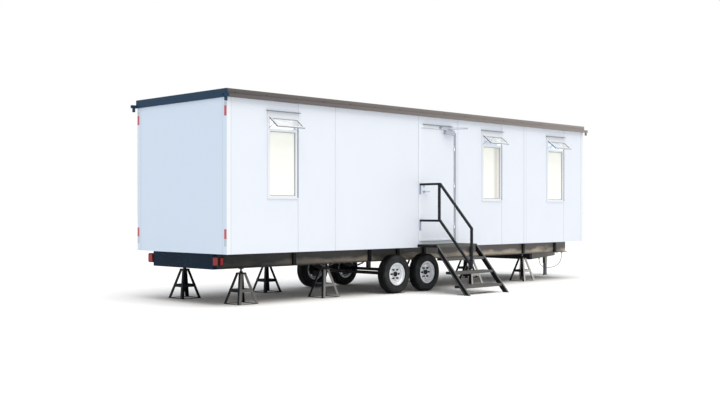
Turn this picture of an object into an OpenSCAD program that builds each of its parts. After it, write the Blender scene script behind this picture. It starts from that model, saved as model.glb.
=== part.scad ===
// Wheeled site cabin: an office box on a steel chassis with tandem axles, jack stands,
// a towing hitch and entrance stairs.
// Construction axes: X from the rear wall forward, Y inward from the door side, Z up from the ground.

/* [Cabin box] */
// Outside length of the box
box_length = 9754; // [9600:1:11000]
// Outside width of the box
box_width = 2438; // [2200:1:3000]
// Height of the walls' lower edge above the ground
wall_bottom = 810; // [790:1:900]
// Height of the walls
wall_height = 2390; // [2350:1:2600]
// Thickness of the walls
wall_thickness = 100; // [90:1:140]
// Thickness of the floor deck
floor_thickness = 120; // [110:1:125]
// Depth of the roof panel at its edges
roof_depth = 85; // [60:1:100]
// Rise of the roof's ridge over its edges
roof_rise = 25; // [5:1:30]

/* [Roof edge and trims] */
// Height of the fascia
fascia_height = 130; // [110:1:180]
// Thickness of the fascia
fascia_thickness = 20; // [10:1:30]
// How far the fascia hangs over the top of the walls
fascia_drop = 10; // [5:1:20]
// Reach of the gutter from the side walls
gutter_reach = 60; // [45:1:90]
// Depth of the gutter
gutter_depth = 50; // [20:1:60]
// Thickness of the gutter's sheet
gutter_sheet = 5; // [3:1:8]
// Length of the gutter beyond the end fascias
gutter_overrun = 80; // [75:1:150]
// Width of a downspout
spout_width = 35; // [25:1:45]
// Length of a downspout
spout_length = 65; // [40:1:200]
// Depth of a downspout
spout_depth = 38; // [30:1:60]
// Thickness of the corner and joint trims
trim_thickness = 3; // [2:0.5:6]
// Width of the corner trim on a side wall
corner_side = 75; // [50:1:120]
// Width of the corner trim on an end wall
corner_end = 95; // [50:1:120]
// Width of a narrow panel joint strip
strip_width = 12; // [8:1:30]
// Width of the wide panel joint batten
batten_width = 90; // [50:1:140]
// Distance of the rear panel joint from the rear wall
joint_place = 2250; // [2000:1:2400]
// Distance of the wide batten from the rear wall
batten_place = 7555; // [7300:1:7700]
// Distance of the joint strip ahead of the door from the door's casing
door_strip_gap = 63; // [20:1:100]

/* [Windows] */
// Distances of the windows from the rear wall
window_places = [788, 6176, 8364]; // [600:1:9200]
// Width of a window over its flange
window_width = 635; // [560:1:700]
// Height of a window over its flange
window_height = 1370; // [1200:1:1450]
// Height of the windows' lower edge above the floor
window_sill = 730; // [600:1:760]
// Width of the flange round the wall opening
window_flange = 15; // [10:1:25]
// Thickness of the flange on the wall
flange_thickness = 15; // [8:1:20]
// Width of the frame round the glass
window_face = 35; // [25:1:50]
// Depth of the frame in the wall
window_depth = 60; // [40:1:80]
// Thickness of the glass
glass_thickness = 6; // [4:1:12]
// Height of the transom bar
transom_height = 40; // [30:1:60]
// Distance of the transom's middle from the window's lower edge
transom_place = 1080; // [900:1:1100]
// Distance of the awning sash's hinge from the window's lower edge
sash_place = 1270; // [1230:1:1290]
// Length of the awning sash from hinge to lower edge
sash_length = 240; // [180:1:300]
// Width of the awning sash
sash_width = 575; // [500:1:600]
// Thickness of the awning sash
sash_thickness = 22; // [16:1:30]
// Width of the awning sash's bars
sash_face = 26; // [18:1:40]
// Angle at which the awning sash stands open
sash_angle = 52; // [20:1:70]
// Reach of the drip hoods from the wall
hood_reach = 48; // [30:1:80]
// Height of the drip hoods at the wall
hood_height = 18; // [12:1:30]
// Side overhang of the windows' drip hoods
hood_overhang = 32; // [0:1:50]
// Width of the door's drip hood
door_hood = 815; // [700:1:1000]

/* [Door] */
// Distance of the leaf's latch edge from the rear wall
door_place = 4400; // [4300:1:4500]
// Width of the leaf
leaf_width = 914; // [850:1:950]
// Height of the leaf
leaf_height = 2032; // [1950:1:2050]
// Thickness of the leaf
leaf_thickness = 41; // [35:1:45]
// How far the leaf stands out of the wall
leaf_proud = 6; // [3:1:9]
// Gap round the leaf
door_gap = 5; // [5:0.5:8]
// Thickness of the jambs
jamb_thickness = 40; // [30:1:60]
// Width of the casing on the wall
casing_width = 55; // [50:1:80]
// Thickness of the casing
casing_thickness = 12; // [10:1:16]
// Reach of the stop over the leaf's edge
stop_reach = 12; // [8:1:20]
// Thickness of the sill plate
sill_thickness = 15; // [10:1:20]
// Reach of the sill plate from the wall
sill_reach = 30; // [15:1:50]
// Radius of the hinge knuckles
knuckle_radius = 7; // [6:0.5:8]
// Height of a hinge
hinge_height = 100; // [80:1:130]
// Height of the lever above the leaf's lower edge
lever_height = 875; // [800:1:1100]
// Distance of the lever from the leaf's latch edge
lever_inset = 70; // [60:1:90]

/* [Door closer] */
// Distance of the closer's spindle from the hinge axis
spindle_place = 140; // [120:1:200]
// Distance of the shoe's pin from the hinge axis
shoe_place = 380; // [330:1:420]
// Reach of the shoe's pin from the hinge axis
shoe_reach = 26; // [22:1:40]
// Distance of the elbow from the hinge axis, along the wall
elbow_place = 38; // [20:1:80]
// Reach of the elbow from the hinge axis
elbow_reach = 351; // [300:1:380]
// Length of the closer's body
closer_length = 270; // [220:1:320]
// Height of the closer's body
closer_height = 80; // [60:1:90]
// Depth of the closer's body
closer_depth = 56; // [50:1:70]
// Thickness of the closer's arms
arm_thickness = 10; // [8:1:12]
// Width of the closer's arms
arm_width = 22; // [16:1:26]

/* [Stairs and handrail] */
// Distance of the stairs' side from the rear wall
stair_place = 4306; // [4100:1:4330]
// Width of the stairs
stair_width = 1141; // [1050:1:1500]
// Depth of the platform at the door
platform_depth = 460; // [380:1:900]
// Height of the platform above the ground
platform_top = 865; // [860:1:900]
// Thickness of the platform
platform_thickness = 50; // [40:1:60]
// Run of the stairs in front of the platform
stair_run = 740; // [600:1:900]
// Count of the treads below the platform
tread_count = 3; // [2:1:3]
// Height between the treads
tread_rise = 235; // [180:1:250]
// Depth of a tread
tread_depth = 230; // [200:1:280]
// Thickness of a tread
tread_thickness = 45; // [30:1:50]
// Depth of the stringers across their slope
stringer_depth = 85; // [75:1:170]
// Width of the stringers
stringer_width = 40; // [30:1:60]
// Thickness of the stringers' and treads' sheet
stair_sheet = 8; // [5:1:10]
// Width of the handrail's tube
rail_tube = 40; // [30:1:44]
// Distance of the handrail's middle from the leaf's latch edge
rail_inset = 35; // [30:1:40]
// Height of the top rail above the ground
rail_top = 1951; // [1850:1:2050]
// Distance of the mid rail below the top rail
rail_step = 655; // [500:1:700]
// Reach of the level stretch from the wall
rail_level = 488; // [440:1:900]
// Run of the sloping stretch
rail_run = 712; // [600:1:900]
// Fall of the sloping stretch
rail_fall = 785; // [600:1:850]
// Thickness of the rail's wall plates
rail_plate = 8; // [5:1:12]
// Height of the rail's wall plates
rail_plate_height = 200; // [120:1:240]

/* [Chassis] */
// Depth of the main beams
beam_depth = 245; // [200:1:260]
// Width of the main beams' flanges
beam_width = 100; // [90:1:140]
// Thickness of the flanges
beam_flange = 12; // [8:1:16]
// Thickness of the webs
beam_web = 8; // [6:1:12]
// Distance of the main beams from the side walls
beam_inset = 404; // [380:1:450]
// Distance of the end beams from the end walls
end_setback = 45; // [30:1:80]
// Width of the end beams' flanges
end_beam_width = 80; // [60:1:100]
// Count of the cross members
cross_count = 8; // [5:1:10]
// Depth of a cross member
cross_depth = 120; // [100:1:160]
// Width of a cross member
cross_width = 60; // [40:1:80]
// Width of a web stiffener
stiffener_width = 60; // [40:1:90]
// Side of a tail lamp housing
lamp_side = 150; // [120:1:160]
// Depth of a tail lamp housing
lamp_depth = 89; // [60:1:120]
// Thickness of the lamp lenses
lens_thickness = 17; // [10:1:25]

/* [Running gear] */
// Distance of the axle pair's middle from the rear wall
axle_mid = 4240; // [4000:1:4400]
// Distance between the axles
axle_spacing = 815; // [760:1:900]
// Radius of a tyre
tyre_radius = 344; // [320:1:360]
// Width of a tyre
tyre_width = 205; // [185:1:225]
// Radius of a tyre's shoulder
tyre_shoulder = 34; // [25:1:45]
// Clearance of the tyres over the ground
tyre_lift = 2; // [2:1:30]
// Distance of a tyre's outer face from the side wall
tyre_inset = 40; // [20:1:80]
// Radius of a rim's flange
rim_radius = 201; // [190:1:210]
// Width of a rim
rim_width = 162; // [150:1:175]
// Count of the hand holes in a wheel
hand_holes = 8; // [6:1:10]
// Radius of the hand holes
hand_hole_radius = 17; // [12:1:22]
// Radius of an axle tube
axle_radius = 30; // [25:1:38]
// Radius of an axle's spindle
spindle_radius = 20; // [16:1:24]
// Half of a leaf spring's length between its eyes
spring_half = 330; // [310:1:340]
// Sag of a leaf spring
spring_sag = 70; // [50:1:80]
// Thickness of one leaf
leaf_spring_thickness = 8; // [6:1:9]
// Width of the leaf springs
spring_width = 45; // [40:1:60]
// Radius of the spring eyes
eye_radius = 17; // [15:1:20]
// Radius of the spring bolts
bolt_radius = 8; // [7:0.5:9]

/* [Jack stands] */
// Side of a stand's base
stand_base = 390; // [340:1:420]
// Side of a stand's top plate
stand_top = 110; // [100:1:130]
// Height of a stand's top plate above the ground
stand_height = 495; // [460:1:510]
// Width of the angle irons
stand_angle = 48; // [40:1:75]
// Thickness of the angle irons
stand_sheet = 6; // [5:1:8]
// Height of the middle ties above the ground
stand_tie = 190; // [150:1:300]
// Height of a middle tie's bar
tie_height = 48; // [30:1:60]
// Radius of a stand's screw
screw_radius = 17; // [14:1:20]
// Side of a stand's pad
pad_side = 60; // [50:1:100]

/* [Hitch] */
// Distance of the hitch beam's rear face from the front wall
hitch_setback = 1414; // [1200:1:1500]
// Width of the hitch beam
hitch_beam = 80; // [60:1:100]
// Depth of the hitch beam and its legs
hitch_depth = 130; // [110:1:150]
// Width of the hitch legs
hitch_leg = 60; // [50:1:80]
// Reach of the coupler from the front wall
hitch_reach = 816; // [780:1:900]
// Radius of the coupler's ball socket
socket_radius = 30; // [28:0.5:32]
// Depth of the coupler's ball socket
socket_depth = 45; // [40:1:55]
// Distance of the tongue jack from the front wall
jack_reach = 326; // [280:1:380]
// Radius of the tongue jack's outer tube
jack_radius = 52; // [40:1:60]
// Height of the tongue jack's outer tube at its lower end
jack_low = 274; // [200:1:340]
// Height of the tongue jack's outer tube at its upper end
jack_top = 1000; // [900:1:1100]

/* [Hidden] */
$fn = 48;

// Gap at a seat that turns or that a round face makes
seat_gap = 0.3;
// Gap that keeps moving pieces apart
running_gap = 5;
// Overlength of a cutting shape
cut = 20;

wall_top = wall_bottom + wall_height;
floor_top = wall_bottom + floor_thickness;
fascia_bottom = wall_top - fascia_drop;
fascia_top = fascia_bottom + fascia_height;
middle = box_width / 2;
front = box_length;

// Doorway
jamb_latch = door_place - door_gap;
jamb_hinge = door_place + leaf_width + door_gap + 3;
rough_latch = jamb_latch - jamb_thickness;
rough_hinge = jamb_hinge + jamb_thickness;
sill_top = floor_top + 10;
sill_bottom = sill_top - sill_thickness;
leaf_bottom = sill_top + door_gap;
leaf_top = leaf_bottom + leaf_height;
head_bottom = leaf_top + door_gap;
rough_top = head_bottom + jamb_thickness;
casing_top = head_bottom + casing_width + 3;
leaf_back = leaf_thickness - leaf_proud;
stop_face = leaf_back + door_gap;
hinge_x = door_place + leaf_width + 4;
hinge_y = -(leaf_proud + knuckle_radius + 1);
casing_hinge = hinge_x + knuckle_radius + 2;

// Door closer, from the hinge axis
spindle = [hinge_x - spindle_place, -leaf_proud - closer_depth / 2];
shoe_pin = [hinge_x - shoe_place, hinge_y - shoe_reach];
elbow = [hinge_x - elbow_place, hinge_y - elbow_reach];
closer_top = leaf_top - 7;
arm_low = leaf_top + 9;
arm_high = arm_low + arm_thickness + running_gap + 1;

// Chassis levels
beam_bottom = wall_bottom - beam_depth;
beam_centre = beam_inset + beam_width / 2;
beam_rear = end_setback + end_beam_width;
front_setback = 4;
beam_front = front - front_setback;

// Running gear levels
axle_z = tyre_radius + tyre_lift;
axle_places = [axle_mid - axle_spacing / 2, axle_mid + axle_spacing / 2];
seat_top = axle_z + axle_radius + 8;
leaf_count = 3;
eye_z = seat_top + seat_gap + leaf_count * leaf_spring_thickness + spring_sag;
hanger_sheet = 8;
equalizer_half = axle_spacing / 2 - spring_half;
equalizer_z = eye_z + 30;
wheel_y = tyre_inset + tyre_width / 2;
bore_gap = 0.3;

// Stands under the main beams
stand_places = [630, 2420, 6390, 8130];

// Web stiffeners over the spring hangers, over the forward stands and at the ends
stiffener_places = [
    1720, axle_places[0] - spring_half, axle_mid, axle_places[1] + spring_half, 6390, 8130, 9300
];

// Hitch
hitch_rear = front - hitch_setback;
leg_rear = hitch_rear + hitch_beam;
leg_bottom = beam_bottom - hitch_depth + 5;
nose_x = front + hitch_reach - 170;
leg_tan = (middle - beam_centre) / (nose_x - leg_rear);
leg_half = hitch_leg / 2 * sqrt(1 + leg_tan * leg_tan);
nose_gap = 4;
coupler_tip = front + hitch_reach;

// Cable route from the front beam's clip to the hitch leg's clip
cable_radius = 6;
cable_sides = 8;
cable_route = [
    [9640, 475, 545], [9640, 475, 515], [9640, 475, 480], [9635, 480, 440], [9625, 485, 400],
    [9610, 490, 360], [9585, 500, 325], [9555, 515, 290], [9515, 535, 265], [9465, 560, 240],
    [9410, 585, 230], [9355, 610, 220], [9300, 640, 220], [9250, 660, 230], [9210, 680, 250],
    [9175, 700, 280], [9150, 710, 320], [9140, 715, 360], [9130, 720, 390], [9130, 720, 420]
];

// Windows, each from its own rear edge
window_low = floor_top + window_sill;
sash_pivot_y = -flange_thickness - sash_thickness / 2 * cos(sash_angle) - 2;
sash_pivot_z = window_low + sash_place;
sash_reach = -sash_pivot_y + sash_length * sin(sash_angle) + sash_thickness / 2 * cos(sash_angle);
hinge_rail_z = sash_pivot_z + sash_thickness / 2 * sin(sash_angle) + seat_gap;
window_top = window_low + window_height;
transom_z = window_low + transom_place;
light_x = window_flange + window_face;
light_bottom = window_low + window_flange + window_face;

// Outermost points, which put the origin under the middle of the object
spout_gap = 10;
x_low = -fascia_thickness - gutter_overrun;
x_high = coupler_tip;
y_low = -(rail_level + rail_run + rail_tube / 2);
y_high = box_width + max(gutter_reach, sash_reach);

// Moves the construction axes so that the origin lies on the ground under the middle
module placed() translate([-(x_low + x_high) / 2, -(y_low + y_high) / 2, 0]) children();

// The same piece on the door side and, mirrored, on the far side
module both_sides() {
    children();
    far_side() children();
}

// A piece of the door side mirrored to the far side
module far_side() translate([0, box_width, 0]) mirror([0, 1, 0]) children();

// The same piece at the rear and, mirrored, at the front
module both_ends() {
    children();
    translate([front, 0, 0]) mirror([1, 0, 0]) children();
}

// A block between low and high limits along X, Y and Z
module slab(x, y, z) translate([x[0], y[0], z[0]]) cube([x[1] - x[0], y[1] - y[0], z[1] - z[0]]);

// A shape drawn in Y and Z, drawn out along X
module along_x(x) translate([x[0], 0, 0]) rotate([90, 0, 90]) linear_extrude(x[1] - x[0]) children();

// A shape drawn in X and Z, drawn out along Y
module along_y(y) translate([0, y[1], 0]) rotate([90, 0, 0]) linear_extrude(y[1] - y[0]) children();

// A rod along Y
module rod_y(x, y, z, r) translate([x, y[1], z]) rotate([90, 0, 0]) cylinder(h = y[1] - y[0], r = r);

// Unit vector across a stretch from a to b
function across(a, b) = [a.y - b.y, b.x - a.x] / norm(b - a);

// Corner offset of a strip at point i of a path
function mitre(path, i) =
    i == 0 ? across(path[0], path[1]) :
    i == len(path) - 1 ? across(path[i - 1], path[i]) :
    let (m = across(path[i - 1], path[i]) + across(path[i], path[i + 1])) m * 2 / (m * m);

// Outline of a strip of even width along a path, with mitred corners
function strip(path, width) = concat(
    [for (i = [0:len(path) - 1]) path[i] + mitre(path, i) * width / 2],
    [for (i = [len(path) - 1:-1:0]) path[i] - mitre(path, i) * width / 2]
);

// Floor and walls

module floor_deck() {
    color("burlywood")
    slab([wall_thickness, front - wall_thickness], [wall_thickness, box_width - wall_thickness],
        [wall_bottom, floor_top]);
}

module rear_wall() {
    color("aliceblue") slab([0, wall_thickness], [0, box_width], [wall_bottom, wall_top]);
}

module front_wall() {
    color("aliceblue") slab([front - wall_thickness, front], [0, box_width], [wall_bottom, wall_top]);
}

module window_openings() {
    for (x = window_places)
        slab([x + window_flange, x + window_width - window_flange], [-cut, wall_thickness + cut],
            [window_low + window_flange, window_top - window_flange]);
}

module side_stretch(x, z) {
    color("aliceblue")
    difference() {
        slab(x, [0, wall_thickness], z);
        window_openings();
    }
}

module back_wall() {
    far_side() side_stretch([wall_thickness, front - wall_thickness], [wall_bottom, wall_top]);
}

module side_wall_rear() {
    side_stretch([wall_thickness, rough_latch], [wall_bottom, wall_top]);
}

module side_wall_front() {
    side_stretch([rough_hinge, front - wall_thickness], [wall_bottom, wall_top]);
}

module side_wall_over_door() {
    side_stretch([rough_latch, rough_hinge], [rough_top, wall_top]);
}

module side_wall_under_door() {
    side_stretch([rough_latch, rough_hinge], [wall_bottom, sill_bottom]);
}

// Roof and its edges

module roof_panel() {
    color("lightgray")
    along_x([0, front])
    polygon([
        [0, wall_top], [box_width, wall_top], [box_width, wall_top + roof_depth],
        [middle, wall_top + roof_depth + roof_rise], [0, wall_top + roof_depth]
    ]);
}

module side_gutters() {
    trough_floor = fascia_bottom + gutter_sheet;
    trough_top = fascia_bottom + gutter_depth;
    spout_front = -fascia_thickness - spout_gap;
    color("dimgray")
    both_sides() {
        slab([-fascia_thickness, front + fascia_thickness], [-fascia_thickness, 0],
            [fascia_bottom, fascia_top]);
        along_x([x_low, front - x_low])
        polygon([
            [-fascia_thickness, fascia_bottom], [-gutter_reach, fascia_bottom],
            [-gutter_reach, trough_top], [-gutter_reach + gutter_sheet, trough_top],
            [-gutter_reach + gutter_sheet, trough_floor], [-fascia_thickness - gutter_sheet, trough_floor],
            [-fascia_thickness - gutter_sheet, trough_top], [-fascia_thickness, trough_top]
        ]);
        both_ends()
        slab([spout_front - spout_depth, spout_front], [-gutter_reach, spout_width - gutter_reach],
            [fascia_bottom - spout_length, fascia_bottom]);
    }
}

module end_fascias() {
    color("dimgray")
    both_ends() slab([-fascia_thickness, 0], [0, box_width], [fascia_bottom, fascia_top]);
}

module corner_trims() {
    color("aliceblue")
    both_sides() both_ends() {
        slab([-trim_thickness, 0], [-trim_thickness, corner_end], [wall_bottom, fascia_bottom]);
        slab([-trim_thickness, corner_side], [-trim_thickness, 0], [wall_bottom, fascia_bottom]);
    }
}

module panel_strips() {
    seam_places = [for (x = window_places) x + window_width + 2];
    door_seams = [jamb_latch - casing_width - strip_width, casing_hinge + casing_width + door_strip_gap];
    color("gainsboro") {
        both_sides() {
            for (x = concat(seam_places, [joint_place]))
                slab([x, x + strip_width], [-trim_thickness, 0], [wall_bottom, fascia_bottom]);
            slab([batten_place, batten_place + batten_width], [-trim_thickness, 0],
                [wall_bottom, fascia_bottom]);
        }
        for (x = door_seams) slab([x, x + strip_width], [-trim_thickness, 0], [platform_top, fascia_bottom]);
    }
}

// Windows

// Upright outline with a hole, in X and Z
module ring(x, z, hole_x, hole_z) {
    difference() {
        translate([x[0], z[0]]) square([x[1] - x[0], z[1] - z[0]]);
        translate([hole_x[0], hole_z[0]]) square([hole_x[1] - hole_x[0], hole_z[1] - hole_z[0]]);
    }
}

module window_frame() {
    glass_x = [light_x, window_width - light_x];
    open_x = [window_flange, window_width - window_flange];
    open_z = [window_low + window_flange, window_top - window_flange];
    along_y([-flange_thickness, 0])
    ring([0, window_width], [window_low, window_top], glass_x, [light_bottom, sash_pivot_z]);
    along_y([0, window_depth]) ring(open_x, open_z, glass_x, [light_bottom, sash_pivot_z]);
    slab(glass_x, [-flange_thickness, window_depth],
        [transom_z - transom_height / 2, transom_z + transom_height / 2]);
    slab([window_width / 2 - sash_width / 2, window_width / 2 + sash_width / 2],
        [sash_pivot_y - sash_thickness / 2, -flange_thickness], [hinge_rail_z, hinge_rail_z + 14]);
}

module window_frames() {
    color("whitesmoke")
    both_sides() for (x = window_places) translate([x, 0, 0]) window_frame();
}

module window_panes() {
    glass_face = window_depth / 3;
    color("ivory")
    both_sides() for (x = window_places)
        slab([x + light_x, x + window_width - light_x], [glass_face, glass_face + glass_thickness],
            [light_bottom, transom_z - transom_height / 2]);
}

// A piece of the awning sash drawn closed and hung from its hinge, then swung open
module hung_sash() {
    both_sides() for (x = window_places)
        translate([x + window_width / 2, sash_pivot_y, sash_pivot_z]) rotate([-sash_angle, 0, 0]) children();
}

module awning_sashes() {
    half = sash_width / 2;
    color("whitesmoke")
    hung_sash()
    along_y([-sash_thickness / 2, sash_thickness / 2])
    ring([-half, half], [-sash_length, 0], [-half + sash_face, half - sash_face],
        [-sash_length + sash_face, -sash_face]);
}

module awning_panes() {
    half = sash_width / 2 - sash_face;
    color("ivory")
    hung_sash()
    slab([-half, half], [-glass_thickness / 2, glass_thickness / 2], [-sash_length + sash_face, -sash_face]);
}

module awning_stays() {
    stay = 4;
    stay_end = [sash_pivot_y - sash_length * 0.6 * sin(sash_angle),
        sash_pivot_z - sash_length * 0.6 * cos(sash_angle)];
    stay_foot = [-flange_thickness, transom_z + transom_height / 2];
    color("silver")
    both_sides() for (x = window_places) for (side = [-1, 1])
        translate([x + window_width / 2 + side * (sash_width + stay) / 2, 0, 0])
        along_x([-stay / 2, stay / 2])
        polygon([stay_foot, stay_foot + [0, 10], stay_end + [0, 5], stay_end + [0, -5]]);
}

// Sloped drip hood between two places along the wall, from this far out of the wall
module hood(x, z, start) {
    along_x(x)
    polygon([
        [-start, z], [-hood_reach, z], [-hood_reach, z + hood_height / 3], [-start, z + hood_height]
    ]);
}

module drip_hoods() {
    door_middle = door_place + leaf_width / 2;
    color("whitesmoke") {
        both_sides() for (x = window_places) {
            hood([x - hood_overhang / 2, x + window_width], window_top, 0);
            hood([x + window_width, x + window_width + hood_overhang], window_top, trim_thickness);
        }
        hood([door_middle - door_hood / 2, door_middle + door_hood / 2], casing_top, 0);
    }
}

// Doorway

module door_jambs() {
    color("gainsboro") {
        slab([rough_latch, jamb_latch], [0, wall_thickness], [sill_bottom, rough_top]);
        slab([jamb_latch - casing_width, jamb_latch], [-casing_thickness, 0], [sill_bottom, casing_top]);
        slab([jamb_latch, jamb_latch + stop_reach], [stop_face, wall_thickness], [sill_top, head_bottom]);
        slab([jamb_hinge, rough_hinge], [0, wall_thickness], [sill_bottom, rough_top]);
        slab([casing_hinge, casing_hinge + casing_width], [-casing_thickness, 0], [sill_bottom, casing_top]);
        slab([jamb_hinge - stop_reach, jamb_hinge], [stop_face, wall_thickness], [sill_top, head_bottom]);
    }
}

module door_head() {
    color("gainsboro") {
        slab([jamb_latch, jamb_hinge], [0, wall_thickness], [head_bottom, rough_top]);
        slab([jamb_latch, casing_hinge], [-casing_thickness, 0], [head_bottom, casing_top]);
        slab([jamb_latch + stop_reach, jamb_hinge - stop_reach], [stop_face, wall_thickness],
            [head_bottom - stop_reach, head_bottom]);
    }
}

module door_sill() {
    color("silver") slab([jamb_latch, jamb_hinge], [-sill_reach, wall_thickness], [sill_bottom, sill_top]);
}

hinge_places = [leaf_bottom + 250, (leaf_bottom + leaf_top) / 2, leaf_top - 330];
pin_radius = 3;

module frame_hinges() {
    color("silver")
    for (z = hinge_places) {
        translate([hinge_x, hinge_y, z - hinge_height / 2])
        cylinder(h = hinge_height / 2, r = knuckle_radius);
        translate([hinge_x, hinge_y, z - 1]) cylinder(h = hinge_height / 2 - 5, r = pin_radius);
        slab([hinge_x, hinge_x + 42], [-casing_thickness - 3, -casing_thickness], [z - hinge_height / 2, z]);
    }
}

module door_hinges() {
    color("silver")
    for (z = hinge_places)
        difference() {
            union() {
                translate([hinge_x, hinge_y, z + seat_gap])
                cylinder(h = hinge_height / 2, r = knuckle_radius);
                slab([hinge_x - 48, hinge_x], [-leaf_proud - 3, -leaf_proud],
                    [z + seat_gap, z + seat_gap + hinge_height / 2]);
            }
            translate([hinge_x, hinge_y, z - cut])
            cylinder(h = hinge_height / 2 + cut, r = pin_radius + seat_gap);
        }
}

module door_leaf() {
    color("aliceblue")
    slab([door_place, door_place + leaf_width], [-leaf_proud, leaf_back], [leaf_bottom, leaf_top]);
}

// Rose, neck and lever on one face of the leaf, pointing out along -Y
module lever() {
    rod_y(0, [-8, 0], 0, 27);
    rod_y(0, [-40, -8], 0, 9);
    slab([-10, 115], [-52, -38], [-10, 10]);
}

// Turn knob of the lock on one face of the leaf
module lock_knob() rod_y(0, [-16, 0], 0, 25);

module door_handles() {
    color("silver")
    translate([door_place + lever_inset, 0, leaf_bottom + lever_height]) {
        lock_z = 112;
        translate([0, -leaf_proud, 0]) lever();
        translate([0, -leaf_proud, lock_z]) lock_knob();
        translate([0, leaf_back, 0]) mirror([0, 1, 0]) lever();
        translate([0, leaf_back, lock_z]) mirror([0, 1, 0]) lock_knob();
    }
}

// Door closer

spindle_pin = 8;
shoe_pin_radius = 6;
eye_margin = 9;

module closer_body() {
    color("silver") {
        slab([hinge_x - closer_length - 18, hinge_x - 18], [-leaf_proud - closer_depth, -leaf_proud],
            [closer_top - closer_height, closer_top]);
        translate([spindle.x, spindle.y, closer_top - 1])
        cylinder(h = arm_low - seat_gap - closer_top + 1, r = spindle_pin + 6);
        translate([spindle.x, spindle.y, closer_top])
        cylinder(h = arm_low + arm_thickness - closer_top, r = spindle_pin);
    }
}

// Flat arm from a pivot to the elbow, with an eye at each end and a bore at the pivot
module closer_arm(pivot, z, bore) {
    reach = elbow - pivot;
    translate([pivot.x, pivot.y, z])
    rotate(atan2(reach.y, reach.x))
    difference() {
        union() {
            translate([0, -arm_width / 2, 0]) cube([norm(reach), arm_width, arm_thickness]);
            cylinder(h = arm_thickness, r = bore + eye_margin);
            translate([norm(reach), 0, 0]) cylinder(h = arm_thickness, r = arm_width / 2 + 3);
        }
        translate([0, 0, -cut]) cylinder(h = arm_thickness + 2 * cut, r = bore);
    }
}

module closer_main_arm() {
    color("silver") closer_arm(spindle, arm_low, spindle_pin + seat_gap);
}

module closer_forearm() {
    color("silver") closer_arm(shoe_pin, arm_high, shoe_pin_radius + seat_gap);
}

module closer_shoe() {
    lug_z = arm_high + arm_thickness + seat_gap;
    lug = 8;
    color("silver") {
        slab([shoe_pin.x - 35, shoe_pin.x + 35], [-casing_thickness - 5, -casing_thickness],
            [head_bottom + 5, casing_top - 5]);
        slab([shoe_pin.x - 13, shoe_pin.x + 13], [shoe_pin.y - 13, -casing_thickness], [lug_z, lug_z + lug]);
        translate([shoe_pin.x, shoe_pin.y, arm_high]) cylinder(h = lug_z - arm_high + 1, r = shoe_pin_radius);
    }
}

// Stairs

stair_x = [stair_place, stair_place + stair_width];
tread_x = [stair_x[0] + stringer_width, stair_x[1] - stringer_width];
tread_going = tread_rise * stair_run / platform_top;
slope = norm([stair_run, platform_top]);
stringer_drop = stringer_depth * slope / stair_run;
stringer_back = stringer_depth * slope / platform_top;

module stair_stringers() {
    lip = stair_sheet * slope / stair_run;
    outer = [
        [-platform_depth, platform_top], [-platform_depth - stair_run, 0],
        [-platform_depth - stair_run + stringer_back, 0], [-platform_depth, platform_top - stringer_drop]
    ];
    top = [-platform_depth + stair_run, 2 * platform_top - lip];
    foot = [-platform_depth - 2 * stair_run, -platform_top - lip];
    depth = [0, -stringer_drop + 2 * lip];
    color("dimgray")
    for (side = [0, 1])
        translate([side == 0 ? stair_x[0] : stair_x[1], 0, 0])
        mirror([side, 0, 0])
        difference() {
            along_x([0, stringer_width]) polygon(outer);
            along_x([-cut, stringer_width - stair_sheet]) polygon([top, foot, foot + depth, top + depth]);
        }
}

// Tread or deck of folded sheet, open below
module folded_tread(y, top, thickness, x) {
    difference() {
        slab(x, y, [top - thickness, top]);
        slab([x[0] + stair_sheet, x[1] - stair_sheet], [y[0] + stair_sheet, y[1] - stair_sheet],
            [top - thickness - cut, top - stair_sheet]);
    }
}

module stair_platform() {
    color("dimgray") folded_tread([-platform_depth, 0], platform_top, platform_thickness, stair_x);
}

module stair_treads() {
    color("dimgray")
    for (i = [1:tread_count]) {
        nose = -platform_depth - i * tread_going;
        folded_tread([nose, nose + tread_depth], platform_top - i * tread_rise, tread_thickness, tread_x);
    }
}

rail_x = door_place - rail_inset;
rail_start = -casing_thickness - rail_plate;

// Level then sloping rail at a height, as a path in Y and Z
function rail_path(z) = [[rail_start, z], [-rail_level, z], [-rail_level - rail_run, z - rail_fall]];

module handrail() {
    newel = -rail_level - rail_run;
    mid_top = rail_top - rail_step;
    rail_span = [rail_x - rail_tube / 2, rail_x + rail_tube / 2];
    color("dimgray") {
        along_x(rail_span)
        polygon(strip(concat(rail_path(rail_top), [[newel, mid_top - rail_fall - rail_tube]]), rail_tube));
        along_x(rail_span) polygon(strip(rail_path(mid_top), rail_tube));
        slab(rail_span, [-rail_level, rail_tube - rail_level], [mid_top, rail_top]);
    }
}

module handrail_plates() {
    color("slategray")
    for (z = [rail_top, rail_top - rail_step])
        slab([rail_x - rail_tube / 2, rail_x + rail_tube / 2], [rail_start, -casing_thickness],
            [z + rail_tube / 2 - rail_plate_height, z + rail_tube / 2]);
}

// Chassis

module chassis_beams() {
    outer = beam_inset;
    inner = beam_inset + beam_width;
    web = [beam_centre - beam_web / 2, beam_centre + beam_web / 2];
    low = beam_bottom + beam_flange;
    high = wall_bottom - beam_flange;
    color("dimgray")
    both_sides() {
        along_x([beam_rear, beam_front])
        polygon([
            [outer, beam_bottom], [inner, beam_bottom], [inner, low], [web[1], low], [web[1], high],
            [inner, high], [inner, wall_bottom], [outer, wall_bottom], [outer, high], [web[0], high],
            [web[0], low], [outer, low]
        ]);
        for (x = stiffener_places)
            slab([x - stiffener_width / 2, x + stiffener_width / 2], [outer + 2, web[0]], [low, high]);
    }
}

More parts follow.
